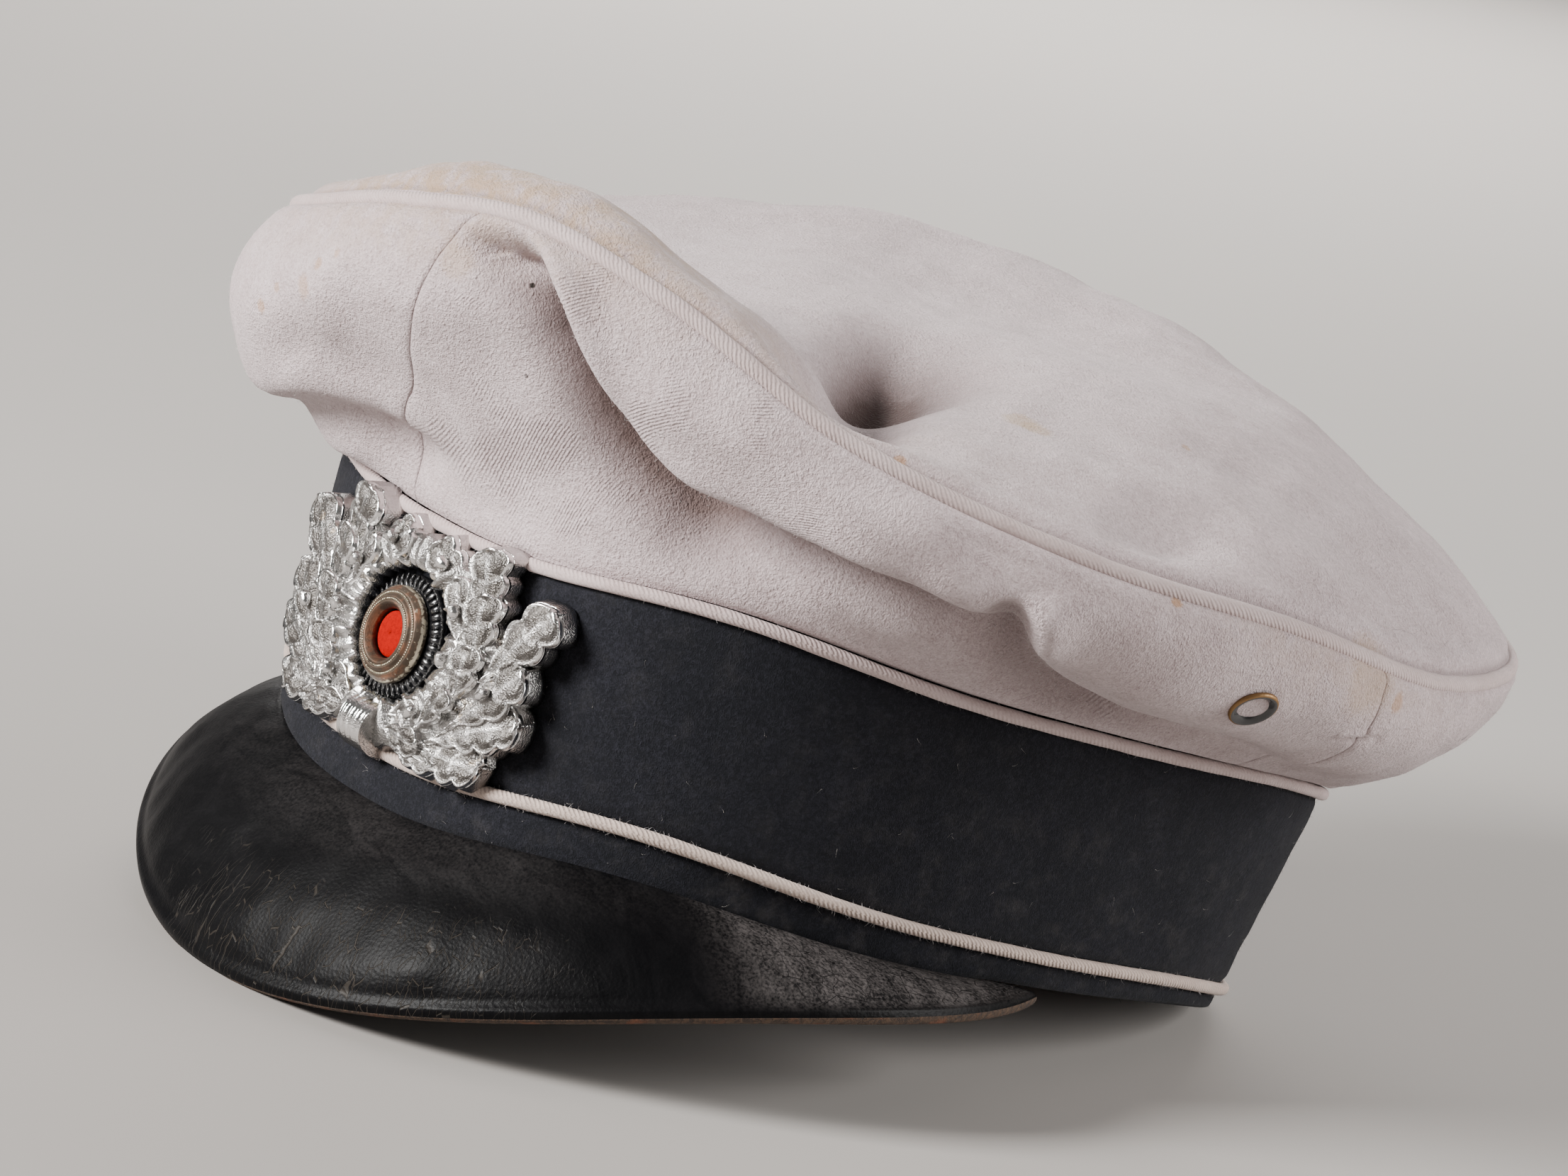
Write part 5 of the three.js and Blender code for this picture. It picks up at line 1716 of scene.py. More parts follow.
LEAVES = (
    Leaf(0.16, 0.12, 0.6, 0.07, 0.9, 0.7), Leaf(0.14, 0.15, 0.48, 0.13, 1.0, 0.84),
    Leaf(0.16, 0.19, 0.38, 0.27, 0.8, 0.76), Leaf(0.42, 0.14, 0.88, 0.13, 1.5, 0.79),
    Leaf(0.5, 0.16, 1.0, 0.34, 1.6, 0.88), Leaf(0.42, 0.18, 0.56, 0.4, 1.2, 0.97),
    Leaf(0.6, 0.24, 0.92, 0.56, 1.6, 0.93), Leaf(0.58, 0.32, 0.58, 0.6, 1.3, 1.0),
    Leaf(0.68, 0.46, 0.96, 0.82, 1.8, 0.9), Leaf(0.6, 0.5, 0.56, 0.82, 1.4, 0.95),
    Leaf(0.49, 0.54, 0.32, 0.84, 1.0, 0.86), Leaf(0.54, 0.68, 0.46, 1.0, 1.6, 0.91),
    Leaf(0.36, 0.8, 0.08, 0.92, 1.3, 0.82),
)

# Each acorn's place sideways and up, its height off the band and its heading in radians: all but the
# last are shares of the wreath's own sizes.
ACORNS = ((0.37, 0.25, 0.8, 1.2), (0.44, 0.5, 0.86, 1.9), (0.4, 0.7, 0.84, 2.2), (0.76, 0.42, 0.86, 0.9),
          (0.2, 0.86, 0.8, 2.8))


@dataclass
class Badge:
    """Places on the front of the band for the wreath and cockade."""

    band: Band
    offset: float = 2.5
    centre: float = 31.3
    depth: float = 8.0

    def __post_init__(self) -> None:
        """Measures the band's front once."""
        self.turns = np.arange(-60.0, 60.01, 0.25)
        line = self.band.face(self.turns, self.centre, self.depth)
        walked = np.r_[0, np.cumsum(np.linalg.norm(np.diff(line, axis=0), axis=1))]
        self.walked = walked - np.interp(0.0, self.turns, walked)

    def at(self, sideways: Any, up: Any, off: Any) -> np.ndarray:
        """Points by mm sideways from the badge's middle, up the band and off its face."""
        turn = np.interp(self.offset + np.asarray(sideways, float), self.walked, self.turns)
        return self.band.face(turn, up, off)


@dataclass
class Wreath:
    """Oak leaves, acorns and a binding, cast in one piece."""

    badge: Badge
    half_width: float = 42.0
    height: float = 47.0
    foot: float = 7.6
    depth: float = 8.0
    opening_half: float = 15.5
    opening_height: float = 26.5
    opening_foot: float = 18.5
    back: float = 0.6
    acorn_size: float = 1.25

    def leaf(self, shell: Shell, row: Leaf, side: int, seed: int) -> None:
        """Adds one leaf, with its rim, veins and fluted side walls.

        Args:
            shell: the casting.
            row: the leaf's measures.
            side: 1 on the wearer's left, -1 on the right.
            seed: varies its lobes.
        """
        rng = np.random.default_rng(seed)
        base = np.array([row.base_x * self.half_width, row.base_up * self.height])
        tip = np.array([row.tip_x * self.half_width, row.tip_up * self.height])
        length = np.linalg.norm(tip - base)
        heading = (tip - base) / length
        across = np.array([-heading[1], heading[0]])
        breadth = row.width * self.depth * 0.43
        rows, columns = 38, 20
        s, c = np.meshgrid(np.linspace(0, 1, rows + 1), np.linspace(-1, 1, columns + 1), indexing="ij")
        q = np.sin(c * math.pi / 2)
        lean = np.where(q > 0, 0.035, -0.035)
        lobes = max(2.0, round(length / 4.6)) - 0.5
        lobed = np.abs(np.sin(math.pi * (lobes * (s + lean + rng.uniform(-0.01, 0.01)) + 0.5))) ** 0.55
        width = (0.18 + 0.82 * smooth(s, 0.0, 0.62)) * (1 - 0.36 * (1 - lobed))
        round_tip = np.sqrt(np.clip(1 - (np.clip(s - 0.8, 0, 1) / 0.201) ** 2, 0.0, 1))
        width = breadth * width * np.maximum(round_tip, 0.08)
        curl = rng.uniform(-0.05, 0.05) * length * np.sin(math.pi * s)
        x = base[0] + heading[0] * s * length + across[0] * (q * width + curl)
        up = base[1] + heading[1] * s * length + across[1] * (q * width + curl)
        away = np.abs(q)
        top = row.top * self.depth
        within = np.minimum((1 - away) * np.maximum(width, 0.6), (1 - s) * length + 0.02)
        high = top - 2.4 * (1 - s) ** 2 - 0.8 * np.clip((s - 0.75) / 0.25, 0, 1) ** 2 - 1.5 * away ** 2
        high = high + q * rng.uniform(-1.0, 1.0) * smooth(s, 0.0, 0.5)
        rim = hump(within - 0.46, 0.27)
        vein = hump(q * width + curl * 0.3, 0.27) * smooth(1 - s, 0.1, 0.25)
        side_veins = np.zeros_like(s)
        for k in range(1, int(lobes) + 2):
            side_veins += hump((s - (k - 0.5) / lobes + 0.1 - 0.14 * away) * length, 0.27)
        inside = smooth(within, 0.7, 1.2)
        side_veins = side_veins * smooth(away, 0.04, 0.14) * inside
        high = high + 0.6 * rim - 1.0 * inside * smooth(s, 0.04, 0.16) + 0.7 * vein + 0.42 * side_veins
        high = high + 1.0 * hump(away - 0.5, 0.28) * lobed * inside - 0.55 * (1 - smooth(within, 0.0, 0.3))
        raised = 0.95 * rim + 0.85 * (1 - smooth(within, 0.2, 0.5)) + 0.6 * vein + 0.3 * side_veins
        raised = np.clip(raised, 0, 1)
        points = self.badge.at(side * x, self.foot + up, high)
        flip = side < 0
        first = shell.add_grid(points, flip=flip, raised=raised)
        number = np.arange(s.size).reshape(s.shape)
        border = np.r_[number[0], number[1:, -1], number[-1, -2::-1], number[-2:0:-1, 0]]
        bx, bu, bh = x.ravel()[border], up.ravel()[border], high.ravel()[border]
        mx, mu = bx.mean(), bu.mean()
        levels = []
        for share, draft in ((0.1, 0.02), (0.35, 0.05), (0.7, 0.09), (1.0, 0.12)):
            off = bh + (self.back - bh) * share
            wide_x, wide_up = bx + (bx - mx) * draft, bu + (bu - mu) * draft
            levels.append(self.badge.at(side * wide_x, self.foot + wide_up, off))
        ring = np.stack(levels, axis=1)
        start = shell.add_points(ring, raised=0.6)
        n, depth = len(border), ring.shape[1]
        i = np.arange(n)
        j = (i + 1) % n
        quads = [
            np.stack([first + border[j], first + border[i], start + i * depth, start + j * depth], axis=1)]
        for k in range(depth - 1):
            quads.append(np.stack([start + j * depth + k, start + i * depth + k,
                                   start + i * depth + k + 1, start + j * depth + k + 1], axis=1))
        walls = np.concatenate(quads)
        shell.add_faces(walls[:, ::-1] if flip else walls)
        floor = (start + i * depth + depth - 1)[None, :]
        shell.add_faces(floor if flip else floor[:, ::-1])

    def acorn(self, shell: Shell, sideways: float, up: float, off: float, heading: float) -> None:
        """Adds a small acorn lying on the wreath.

        Args:
            shell: the casting.
            sideways: mm from the badge's middle.
            up: mm up the band.
            off: mm off the band.
            heading: where its tip points, in radians.
        """
        sides, size = 20, self.acorn_size
        a, b = np.meshgrid(np.linspace(0, 2 * math.pi, sides, endpoint=False),
                           np.linspace(0.12, math.pi - 0.12, 12), indexing="ij")
        bulge = 1 + 0.18 * smooth(-np.cos(b), 0.15, 0.3)
        along, wide = -np.cos(b) * 1.35, np.sin(b) * bulge
        c, s = math.cos(heading), math.sin(heading)
        x = (along * c - wide * np.cos(a) * s) * size
        y = (along * s + wide * np.cos(a) * c) * size
        points = self.badge.at(sideways + x, up + y, off + wide * np.sin(a) * size)
        first = shell.add_grid(points, ring=True, raised=0.9 - 0.5 * smooth(-np.cos(b), 0.15, 0.3))
        for column, turned in ((0, True), (points.shape[1] - 1, False)):
            cap = (first + np.arange(sides) * points.shape[1] + column)[None, :]
            shell.add_faces(cap[:, ::-1] if turned else cap)

    def ground(self, shell: Shell) -> None:
        """Adds the oval ring that the leaves stand on, fluted inside.

        Args:
            shell: the casting.
        """
        steps = 288
        a = np.linspace(0, 2 * math.pi, steps, endpoint=False)
        middle_up = self.opening_foot + self.opening_height / 2
        flute = 1.0 * np.abs(np.sin(a * 16)) - 0.4 + 0.25 * np.sin(a * 7)
        inner_x = (self.opening_half - flute) * np.cos(a)
        inner_up = middle_up + (self.opening_height / 2 - flute) * np.sin(a)
        reach = 1 - 0.28 * np.maximum(np.sin(a), 0)
        outer_x = inner_x + 0.42 * self.half_width * np.cos(a) * reach
        outer_up = inner_up + 0.2 * self.height * np.sin(a) * reach
        crest = 0.62 * self.depth + 0.7 * np.sin(a * 13) + 0.5 * np.sin(a * 29 + 1)
        profile = (
            (0, self.back, 0, 0.2), (0, 0.35 * self.depth, 0, 0.35), (0, 0, 0.8, 0.6), (0.06, 0, 0.95, 0.85),
            (0.2, 0, 1.0, 0.4), (0.5, 0, 1.0, 0.2), (0.9, 0, 0.85, 0.3), (1.0, self.back, 0, 0.5))
        rows, raised = [], []
        for share, level, crested, shine in profile:
            x, up = inner_x + (outer_x - inner_x) * share, inner_up + (outer_up - inner_up) * share
            rows.append(self.badge.at(x, up, level + crest * crested))
            raised.append(np.full(steps, shine))
        shell.add_grid(np.stack(rows, axis=1), ring=True, tube=True, raised=np.stack(raised, axis=1))

    def binding(self, shell: Shell) -> None:
        """Adds the ribbon bound round the stalks at the foot.

        Args:
            shell: the casting.
        """
        half = 0.105 * self.half_width
        tall = self.opening_foot - self.foot + 0.6
        u, v = np.meshgrid(np.linspace(-1, 1, 61), np.linspace(0, 1, 33), indexing="ij")
        ribs = 0.6 * np.abs(np.cos(u * math.pi * 2.0)) - 0.5 * smooth(np.abs(u), 0.86, 1.0)
        arch = (1 - np.abs(2 * v - 1) ** 2.6)
        off = self.back + (0.97 * self.depth - self.back) * arch ** 0.6 + ribs * smooth(arch, 0.0, 0.3)
        pinch = 1 + 0.1 * np.abs(2 * v - 1) ** 2
        points = self.badge.at(u * half * pinch, self.foot - 0.4 + v * tall, off)
        sunk = np.full(u.shape, self.back - 0.01)
        floor = self.badge.at(u * half * pinch, self.foot - 0.4 + v * tall, sunk)
        shell.add_grid(points, raised=0.95 - 0.5 * smooth(0.12 - np.abs(np.cos(u * math.pi * 2.0)), 0, 0.1))
        shell.add_grid(floor, flip=True, raised=0.5)
        for row, turned in ((0, True), (-1, False)):
            side = np.stack([points[row], floor[row]], axis=1)
            shell.add_grid(side, flip=turned, raised=0.7)

    def build(self, finishes: Finishes) -> None:
        """Makes the wreath.

        Args:
            finishes: the cap's materials.
        """
        shell = Shell()
        self.ground(shell)
        for side in (1, -1):
            for number, row in enumerate(LEAVES):
                self.leaf(shell, row, side, 100 + number)
            for x, up, off, turn in ACORNS:
                self.acorn(shell, side * x * self.half_width, self.foot + up * self.height, off * self.depth,
                           turn if side > 0 else math.pi - turn)
        self.binding(shell)
        adopt(shell.build("wreath_cast", [finishes.aluminium]), "bright_aluminium", "wreath")


# Turned profiles of the cockade, from the back round the rim to the front: radius and height as
# shares of the piece's own, then how silvered and how coppery it is there.
DISC_PROFILE = (
    (0.94, 0, 0, 0), (0.985, 0.25, 0, 0), (1, 0.5, 0, 0), (0.985, 0.7, 0, 0), (0.95, 0.85, 0, 0),
    (0.88, 0.96, 0, 0), (0.8, 1, 0, 0), (0.7, 1, 0, 0))
RING_PROFILE = (
    (0.97, 0, 0.2, 0.2), (1, 0.06, 0.4, 0.2), (1, 0.3, 0.55, 0.1), (0.985, 0.4, 0.62, 0.2),
    (0.955, 0.5, 0.3, 0.6), (0.93, 0.6, 0.35, 1), (0.9, 0.7, 0.3, 0.9), (0.88, 0.75, 0.05, 0.3),
    (0.86, 0.73, 0, 0.1), (0.83, 0.73, 0.15, 0), (0.8, 0.75, 0, 0.1), (0.775, 0.84, 0.1, 0.4),
    (0.75, 0.93, 0.2, 0.7), (0.73, 0.96, 0.05, 0.2), (0.71, 0.93, 0, 0), (0.69, 0.92, 0.2, 0),
    (0.665, 0.93, 0.05, 0.1), (0.645, 0.99, 0.15, 0.5), (0.62, 1, 0.25, 0.6), (0.6, 0.97, 0.1, 0.4),
    (0.565, 0.82, 0, 0.6))
HEART_PROFILE = (
    (0.97, 0, 0, 0), (1, 0.15, 0, 0), (1, 0.6, 0, 0), (0.96, 0.74, 0, 0), (0.86, 0.84, 0, 0),
    (0.6, 0.95, 0, 0), (0.3, 1, 0, 0))
POLE = 0.01


def sized(profile: Sequence[tuple[float, ...]], radius: float, height: float) -> list[tuple[float, ...]]:
    """A profile of shares in mm."""
    return [(r * radius, h * height, *tints) for r, h, *tints in profile]


@dataclass
class Cockade:
    """The cockade: a pleated black base, a stepped beaded ring and a felt centre."""

    badge: Badge
    base_radius: float = 12.3
    base_depth: float = 3.0
    ring_radius: float = 9.6
    ring_depth: float = 3.4
    felt_radius: float = 4.6
    felt_depth: float = 1.6
    gap: float = 0.3
    pleats: int = 44

    def __post_init__(self) -> None:
        """Sets the cockade's own axes on the band."""
        up = self.badge.centre

        def at(x: float, y: float) -> np.ndarray:
            """A place on the band's face."""
            return self.badge.at(x, y, 0.0)

        self.origin = at(0.0, up)
        self.ahead = unit(at(1.0, up) - at(-1.0, up))
        self.upward = unit(at(0.0, up + 1) - at(0.0, up - 1))
        self.out = unit(np.cross(self.ahead, self.upward))

    def lay(self, points: np.ndarray, off: float) -> np.ndarray:
        """Points of a part turned about its own axis, laid on the band."""
        x, y, z = points[..., 0:1], points[..., 1:2], points[..., 2:3]
        return self.origin + self.ahead * x + self.upward * y + self.out * (z + off)

    def turned(
        self, shell: Shell, profile: Sequence[tuple[float, ...]], off: float, steps: int,
        wave: Callable[[np.ndarray, np.ndarray], np.ndarray] | None = None,
    ) -> None:
        """Adds a turned part.

        Args:
            shell: the mesh.
            profile: radius, height, silvering and copper tint from the bore round and back to it.
            off: how far the part's back stands off the band.
            steps: faces round it.
            wave: change of height by angle and radius.
        """
        table = np.array(profile)
        a = np.linspace(0, 2 * math.pi, steps, endpoint=False)[:, None]
        radius = np.broadcast_to(table[:, 0], (steps, len(table)))
        height = np.broadcast_to(table[:, 1], radius.shape)
        if wave is not None:
            height = height + wave(np.broadcast_to(a, radius.shape), radius)
        points = np.stack([radius * np.cos(a), radius * np.sin(a), height], axis=-1)
        silvered, coppery = (np.broadcast_to(table[:, column], radius.shape) for column in (2, 3))
        shell.add_grid(self.lay(points, off), ring=True, tube=True, silvered=silvered, coppery=coppery)

    def circle(self, name: str, count: int, radius: float, size: tuple[float, float, float], off: float,
               material: bpy.types.Material, host: bpy.types.Object) -> bpy.types.Object:
        """Small parts in a circle, laid on the band.

        Args:
            name: the object's name.
            count: how many parts.
            radius: the circle's radius in mm.
            size: a part's half sizes along, across and up.
            off: how far the circle stands off the band.
            material: their material.
            host: the empty mesh object that the tree runs on.

        Returns:
            The object.
        """
        mesh = bake(name, host, circle_tree(), {
            "Count": count, "Radius": radius, "Size": size, "Material": material})
        points = np.empty(len(mesh.vertices) * 3, np.float32)
        mesh.vertices.foreach_get("co", points)
        laid = REST.place(self.lay(points.reshape(-1, 3), off))
        mesh.vertices.foreach_set("co", laid.astype(np.float32).ravel())
        mesh.polygons.foreach_set("use_smooth", [True] * len(mesh.polygons))
        mesh.update()
        return linked(name, mesh)

    def build(self, finishes: Finishes) -> None:
        """Makes the cockade.

        Args:
            finishes: the cap's materials.
        """
        seat = 2 * self.gap
        r, h = self.base_radius, self.base_depth

        def pleat(angle: np.ndarray, radius: np.ndarray) -> np.ndarray:
            """How far the disc's rim is pleated up."""
            rim = smooth(radius, 0.72 * r, 0.84 * r)
            folds = 0.3 * np.abs(np.sin(angle * self.pleats / 2)) * rim * (1 - smooth(radius, 0.99 * r, r))
            return folds - 0.18 * rim

        base = Shell()
        self.turned(base, [(POLE, 0, 0, 0), *sized(DISC_PROFILE, r, h), (POLE, h, 0, 0)], seat, 352, pleat)
        adopt(base.build("cockade_disc", [finishes.lacquer]), "black_lacquer", "cockade_base")
        host = linked("maker", bpy.data.meshes.new("maker"))
        pleats = self.circle("cockade_pleats", self.pleats, 0.895 * r, (0.1 * r, 0.26, 0.55), seat + 0.93 * h,
                             finishes.lacquer, host)
        adopt(pleats, "black_lacquer")
        ring = Shell()
        r, h = self.ring_radius, self.ring_depth
        bore = self.felt_radius + self.gap
        lift = seat + self.base_depth + self.gap
        self.turned(ring, [(bore, 0, 0, 0.3), *sized(RING_PROFILE, r, h), (bore + 0.1, 0.66 * h, 0, 1),
                           (bore, 0.6 * h, 0, 1)], lift, 120)
        adopt(ring.build("cockade_steps", [finishes.tarnish]), "tarnished_metal", "cockade_ring")
        for name, radius, count, height in (("cockade_beads_outer", 0.83 * r, 96, 0.74 * h),
                                            ("cockade_beads_inner", 0.688 * r, 84, 0.93 * h)):
            size = (0.22, 0.17, 0.17)
            beads = self.circle(name, count, radius, size, lift + height, finishes.tarnish, host)
            worn = beads.data.attributes.new("silvered", "FLOAT", "POINT")
            worn.data.foreach_set("value", np.full(len(beads.data.vertices), 0.62, np.float32))
            adopt(beads, "tarnished_metal")
        bpy.data.objects.remove(host)
        felt = Shell()
        r, h = self.felt_radius, self.felt_depth
        self.turned(felt, [(POLE, 0, 0, 0), *sized(HEART_PROFILE, r, h), (POLE, h, 0, 0)], lift, 72)
        adopt(felt.build("cockade_heart", [finishes.felt]), "red_felt", "cockade_felt")


@dataclass
class Eyelets:
    """The vent eyelets in the crown's sides."""

    crown: Crown
    turn: float = 89.5
    up: float = 0.64
    radius: float = 4.9
    bore: float = 3.0

    def seat(self, side: int) -> tuple[np.ndarray, np.ndarray, np.ndarray, np.ndarray]:
        """Finds an eyelet's place on the wall, and its directions along, up and out of it.

        Args:
            side: 1 on the wearer's left, -1 on the right.

        Returns:
            The middle and the three directions.
        """
        turn, up = np.array(side * self.turn), np.array(self.up)
        out = surface_normal(self.crown.wall, turn, up, 1.5, 0.03)
        upward = unit(self.crown.wall(turn, up + 0.05) - self.crown.wall(turn, up - 0.05))
        ahead = unit(np.cross(upward, out))
        return self.crown.wall(turn, up), ahead, np.cross(out, ahead), out

    def pierce(self, panel: bpy.types.Object, side: int) -> bpy.types.Object:
        """Cuts the eyelet's hole through a panel.

        Args:
            panel: the crown's panel.
            side: 1 on the wearer's left, -1 on the right.

        Returns:
            The panel with its hole.
        """
        centre, ahead, upward, out = self.seat(side)
        sides, reach = 40, 9.0
        a = np.linspace(0, 2 * math.pi, sides, endpoint=False)[:, None, None]
        depth = np.array([-reach, reach])[None, :, None]
        radius = self.radius - 1.0
        plug = Shell()
        circle = centre + (ahead * np.cos(a) + upward * np.sin(a)) * radius
        first = plug.add_grid(circle + out * depth, ring=True, flip=True)
        for end, turned in ((0, False), (1, True)):
            cap = (first + np.arange(sides) * 2 + end)[None, :]
            plug.add_faces(cap if turned else cap[:, ::-1])
        cutter = plug.build("cutter", [])
        hole = panel.modifiers.new("hole", "BOOLEAN")
        hole.operation, hole.solver, hole.object = "DIFFERENCE", "EXACT", cutter
        name, whole = panel.name, panel.data
        pierced = bpy.data.meshes.new_from_object(panel.evaluated_get(bpy.context.evaluated_depsgraph_get()))
        bpy.data.objects.remove(panel)
        bpy.data.objects.remove(cutter)
        bpy.data.meshes.remove(whole)
        return linked(name, pierced)

    def build(self, finishes: Finishes) -> None:
        """Makes both eyelets.

        Args:
            finishes: the cap's materials.
        """
        for side, name in ((1, "left"), (-1, "right")):
            centre, ahead, upward, out = self.seat(side)
            bore, rim, steps = self.bore, self.radius, 72
            profile = np.array([
                (0.9, -2.9), (1.1, -2.0), (bore - 0.9, -1.5), (bore - 0.3, -0.7), (bore + 0.25, 0.2),
                (bore + 0.9, 0.55), (rim - 0.75, 0.72), (rim - 0.4, 0.7), (rim - 0.12, 0.55), (rim, 0.3),
                (rim - 0.02, -0.2), (bore + 0.8, -0.5), (bore + 0.7, -2.4), (rim - 0.6, -2.7),
                (rim - 0.7, -3.1), (bore, -3.1)])
            a = np.linspace(0, 2 * math.pi, steps, endpoint=False)[:, None]
            radius, height = profile[:, 0], np.broadcast_to(profile[:, 1], (steps, len(profile)))
            circle = ahead * (radius * np.cos(a))[..., None] + upward * (radius * np.sin(a))[..., None]
            points = centre + circle + out * height[..., None]
            slot_of = np.zeros(len(profile), int)
            slot_of[7:10] = 1
            shell = Shell()
            shell.add_grid(points, ring=True, tube=True, flip=True, slot_of=slot_of)
            made = shell.build(f"eyelet_{name}", [finishes.lacquer, finishes.brass])
            adopt(made, "black_lacquer", f"vent_eyelet_{name}")


@dataclass
class Nap:
    """Loose fibres standing off the cloth, and lint on the dark wool."""

    tree: Any = field(default_factory=nap_tree)

    def grow(self, name: str, source: str, material: bpy.types.Material, slot: str, density: float,
             length: float, thickness: float, lean: float, seed: int, bend: float = 0.5) -> None:
        """Scatters fibres over the outside of a piece.

        Args:
            name: the fibres' name.
            source: name of the piece that they grow on.
            material: their material.
            slot: the slot name passed on to adopt.
            density: fibres a square metre.
            length: their length in mm.
            thickness: their radius in mm.
            lean: how far they may lean from upright, in radians.
            seed: fixes where they stand.
            bend: how far their tips bend over, as a share of their length.
        """
        mesh = bake(name, bpy.data.objects[source], self.tree, {
            "Density": density, "Length": length * MM, "Thickness": thickness * MM, "Lean": lean,
            "Seed": seed, "Bend": bend, "Material": material})
        adopt(linked(name, mesh), slot)

    def build(self, finishes: Finishes) -> None:
        """Grows the nap of the crown, the fuzz of the dark wool and cords, and stray hairs.

        Args:
            finishes: the cap's materials.
        """
        pale, dark, wool = finishes.pale_fibre, finishes.dark_fibre, "pale_wool"
        for name, source, density, seed in (
                ("nap_top", "crown_lid", 1.3e5, 1), ("nap_left", "crown_panel_left", 2.2e5, 2),
                ("nap_right", "crown_panel_right", 1.4e5, 3), ("nap_back", "crown_panel_back", 1.2e5, 4)):
            self.grow(name, source, pale, wool, density, 1.0, 0.028, 1.25, seed)
        self.grow("nap_welt", "crown_welt", pale, "pale_cord", 3.0e5, 0.8, 0.024, 1.3, 5)
        self.grow("nap_cord_upper", "band_cord_upper", pale, "pale_cord", 3.0e5, 0.8, 0.024, 1.3, 6)
        self.grow("nap_cord_lower", "band_cord_lower", pale, "pale_cord", 6.0e5, 1.0, 0.03, 1.3, 7)
        self.grow("nap_band", "band_wool", dark, "black_wool", 1.0e5, 0.8, 0.028, 1.2, 8)
        self.grow("nap_hem", "hem_wool", dark, "black_wool", 1.6e5, 0.8, 0.028, 1.2, 9)
        self.grow("lint_band", "band_wool", finishes.lint, "black_wool", 6.0e3, 1.0, 0.03, 1.5, 10, 1.5)
        self.grow("lint_hem", "hem_wool", finishes.lint, "black_wool", 1.2e4, 1.0, 0.03, 1.5, 11, 1.5)
        self.grow("hairs_left", "crown_panel_left", dark, wool, 500.0, 6.0, 0.028, 1.5, 12, 0.9)
        self.grow("hairs_top", "crown_lid", dark, wool, 260.0, 6.0, 0.028, 1.5, 13, 0.9)


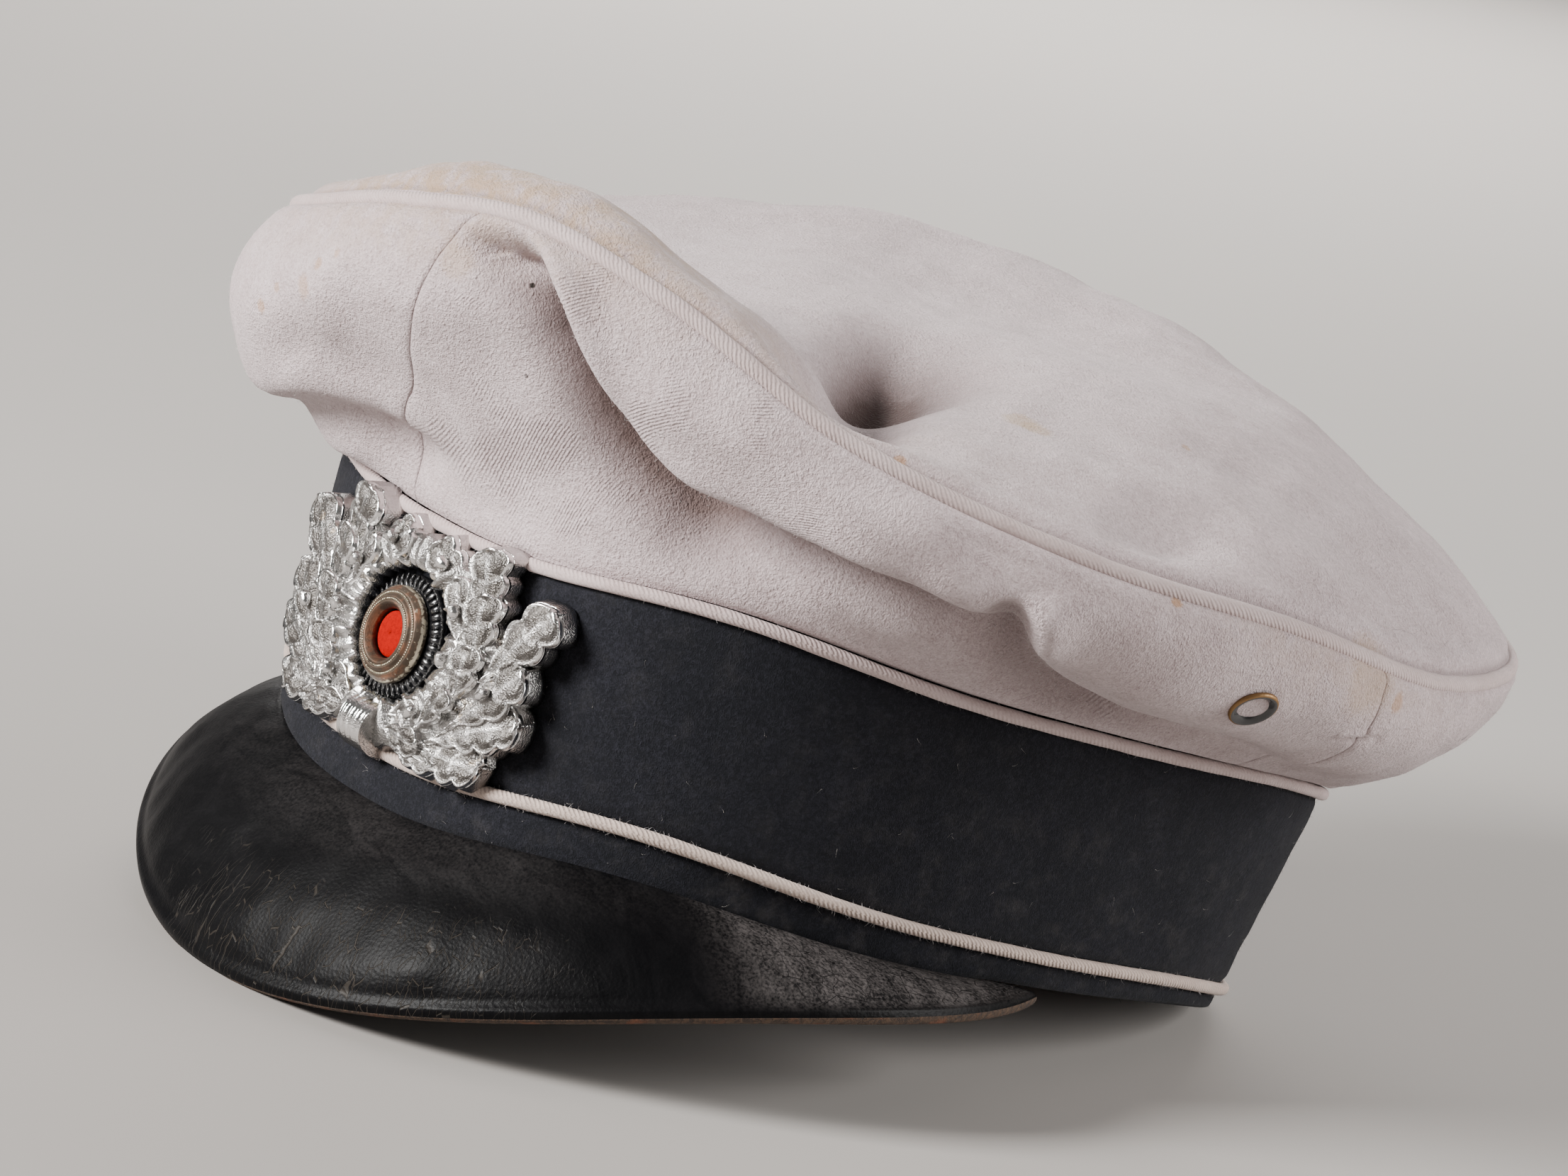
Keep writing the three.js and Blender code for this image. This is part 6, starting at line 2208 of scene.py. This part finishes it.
@dataclass
class Studio:
    """A pale floor, soft lights and the camera."""

    azimuth: float = 49.478
    elevation: float = 6.426
    roll: float = 20.76
    distance: float = 1226.25
    focal_pixels: float = 8573.0
    aim: tuple[float, float] = (39.9, 155.0)
    frame_width: float = 2212.0
    sensor: float = 36.0
    floor_colour: Colour = (0.38, 0.355, 0.335)
    floor_light: Colour = (0.40, 0.375, 0.352)
    floor_painted_shade: Colour = (0.17, 0.155, 0.145)
    painted_shade_place: tuple[float, float, float] = (-0.02, -0.33, 0.0)
    sky: Colour = (0.80, 0.785, 0.765)
    sky_strength: float = 0.17

    def camera(self) -> bpy.types.Object:
        """Sets the camera as the cap was seen, turned with the cap as it rests.

        Returns:
            The camera.
        """
        az, el, r = (math.radians(v) for v in (self.azimuth, self.elevation, self.roll))
        back = np.array([math.sin(az) * math.cos(el), -math.cos(az) * math.cos(el), math.sin(el)])
        right0 = np.array([math.cos(az), math.sin(az), 0.0])
        up0 = np.array([-math.sin(az) * math.sin(el), math.cos(az) * math.sin(el), math.cos(el)])
        right = math.cos(r) * right0 + math.sin(r) * up0
        up = -math.sin(r) * right0 + math.cos(r) * up0
        place = REST.place(np.array([0.0, 0.0, 35.0]) + back * self.distance)
        ahead = -back - right * self.aim[0] / self.focal_pixels + up * self.aim[1] / self.focal_pixels
        back = unit(-REST.turn(ahead))
        right = REST.turn(right)
        right = unit(right - back * float(right @ back))
        up = np.cross(back, right)
        data = bpy.data.cameras.new("camera")
        data.sensor_width = self.sensor
        data.lens = self.focal_pixels / self.frame_width * self.sensor
        data.clip_start, data.clip_end = 0.05, 60.0
        made = bpy.data.objects.new("camera", data)
        bpy.context.collection.objects.link(made)
        columns = [Vector(v) for v in (right, up, back)]
        matrix = Matrix([[columns[j][i] for j in range(3)] for i in range(3)]).to_4x4()
        matrix.translation = Vector(place)
        made.matrix_world = matrix
        bpy.context.scene.camera = made
        return made

    def lamp(self, name: str, place: Vector, aim: Vector, size: float, power: float, colour: Colour) -> None:
        """Adds a soft square light aimed at a point.

        Args:
            name: its name.
            place: where it stands.
            aim: where it points.
            size: its side in metres.
            power: its power in watts.
            colour: its colour.
        """
        data = bpy.data.lights.new(name, "AREA")
        data.shape, data.size, data.energy, data.color = "SQUARE", size, power, colour
        made = bpy.data.objects.new(name, data)
        bpy.context.collection.objects.link(made)
        made.location = place
        made.rotation_euler = (aim - place).to_track_quat("-Z", "Y").to_euler()

    def build(self) -> None:
        """Sets the floor, lights and camera."""
        material = bpy.data.materials.new("pale_floor")
        material.use_nodes = True
        plan = Plan(material.node_tree)
        shader = material.node_tree.nodes["Principled BSDF"]
        cloudy = plan.noise(plan.place(), 260.0, 3.0)
        colour = plan.blend(cloudy, rgba(self.floor_colour), rgba(self.floor_light))
        # Painted shade: the floor is darkened round a place in front of the cap.
        away = plan.vector("DISTANCE", plan.place(), self.painted_shade_place, output=1)
        colour = plan.blend((1.0 - plan.step(away, 0.04, 0.34)) * 0.5, colour, rgba(self.floor_painted_shade))
        settle(shader, plan, Base_Color=colour, Roughness=0.85)
        mesh = bpy.data.meshes.new("floor")
        half = 9.0
        corners = [(-half, -half, 0), (half, -half, 0), (half, half, 0), (-half, half, 0)]
        mesh.from_pydata(corners, [], [(0, 1, 2, 3)])
        mesh.materials.append(material)
        linked("floor", mesh)
        camera = self.camera()
        side = camera.matrix_world.to_3x3() @ Vector((1, 0, 0))
        side = Vector((side.x, side.y, 0)).normalized()
        toward = Vector((camera.location.x, camera.location.y, 0)).normalized()
        key = toward * 0.5 - side * 1.25 + Vector((0, 0, 0.78))
        fill = toward * 0.28 + side * 1.35 + Vector((0, 0, 0.62))
        back = -toward * 1.5 + Vector((0, 0, 0.6))
        middle = Vector((0, 0, 0.08))
        self.lamp("key", key, middle, 0.5, 64.0, (1.0, 0.985, 0.965))
        self.lamp("fill", fill, middle, 0.8, 27.0, (1.0, 0.985, 0.97))
        self.lamp("back", back, -toward * 0.95, 1.0, 22.0, (1.0, 0.98, 0.96))
        world = bpy.data.worlds.new("studio")
        bpy.context.scene.world = world
        world.use_nodes = True
        background = world.node_tree.nodes["Background"]
        background.inputs["Color"].default_value = rgba(self.sky)
        background.inputs["Strength"].default_value = self.sky_strength


def spot_places(crown: Crown) -> tuple[tuple[tuple[float, float, float], Spot], ...]:
    """Finds where the small marks lie on the crown at rest.

    Args:
        crown: the crown.

    Returns:
        Each mark's place in metres, with the mark.
    """
    found = []
    for spot in SPOTS:
        face = crown.top if spot.on_top else crown.wall
        place = REST.place(face(np.array(spot.turn), np.array(spot.reach)))
        found.append((tuple(float(v) for v in place), spot))
    return tuple(found)


def make_finishes(crown: Crown) -> Finishes:
    """Makes every material.

    Args:
        crown: the crown, for the places of its marks.

    Returns:
        The materials.
    """
    return Finishes(
        pale_wool=NappedWool("napped_wool", (0.66, 0.555, 0.565), spots=spot_places(crown)).make(),
        pale_cord=CordCloth("cord_cloth", (0.64, 0.52, 0.45)).make(),
        welt_cloth=CordCloth("welt_cloth", (0.64, 0.53, 0.52), shade=(0.38, 0.285, 0.27),
                             ribbing=0.1, relief=0.16).make(),
        black_wool=DenseWool("dense_wool", (0.0085, 0.009, 0.0115)).make(),
        leather=Leather("peak_leather", (0.0022, 0.0022, 0.0026)).make(),
        raw_edge=RawEdge("raw_edge", (0.085, 0.05, 0.03)).make(),
        aluminium=CastMetal("cast_aluminium", (0.86, 0.85, 0.84)).make(),
        lacquer=Lacquer("black_lacquer", (0.006, 0.006, 0.007)).make(),
        tarnish=TarnishedMetal("tarnished_metal", (0.075, 0.055, 0.04)).make(),
        felt=Felt("red_felt", (0.34, 0.003, 0.001), deep=(0.2, 0.004, 0.002)).make(),
        brass=TarnishedMetal("worn_brass", (0.26, 0.15, 0.065), silver=(0.45, 0.33, 0.17)).make(),
        pale_fibre=Strand("pale_fibre", (0.74, 0.69, 0.68)).make(),
        dark_fibre=Strand("dark_fibre", (0.01, 0.01, 0.0125)).make(),
        lint=Strand("lint", (0.5, 0.47, 0.44)).make(),
    )


def main() -> None:
    """Builds the cap and its studio."""
    logging.basicConfig(level=logging.INFO, format="%(name)s %(message)s")
    Studio().build()
    band = Band()
    crown = Crown(band)
    finishes = make_finishes(crown)
    crown.build(finishes)
    band.build(finishes)
    Peak(band).build(finishes)
    badge = Badge(band)
    Wreath(badge).build(finishes)
    Cockade(badge).build(finishes)
    Eyelets(crown).build(finishes)
    Nap().build(finishes)


if __name__ == "__main__":
    main()
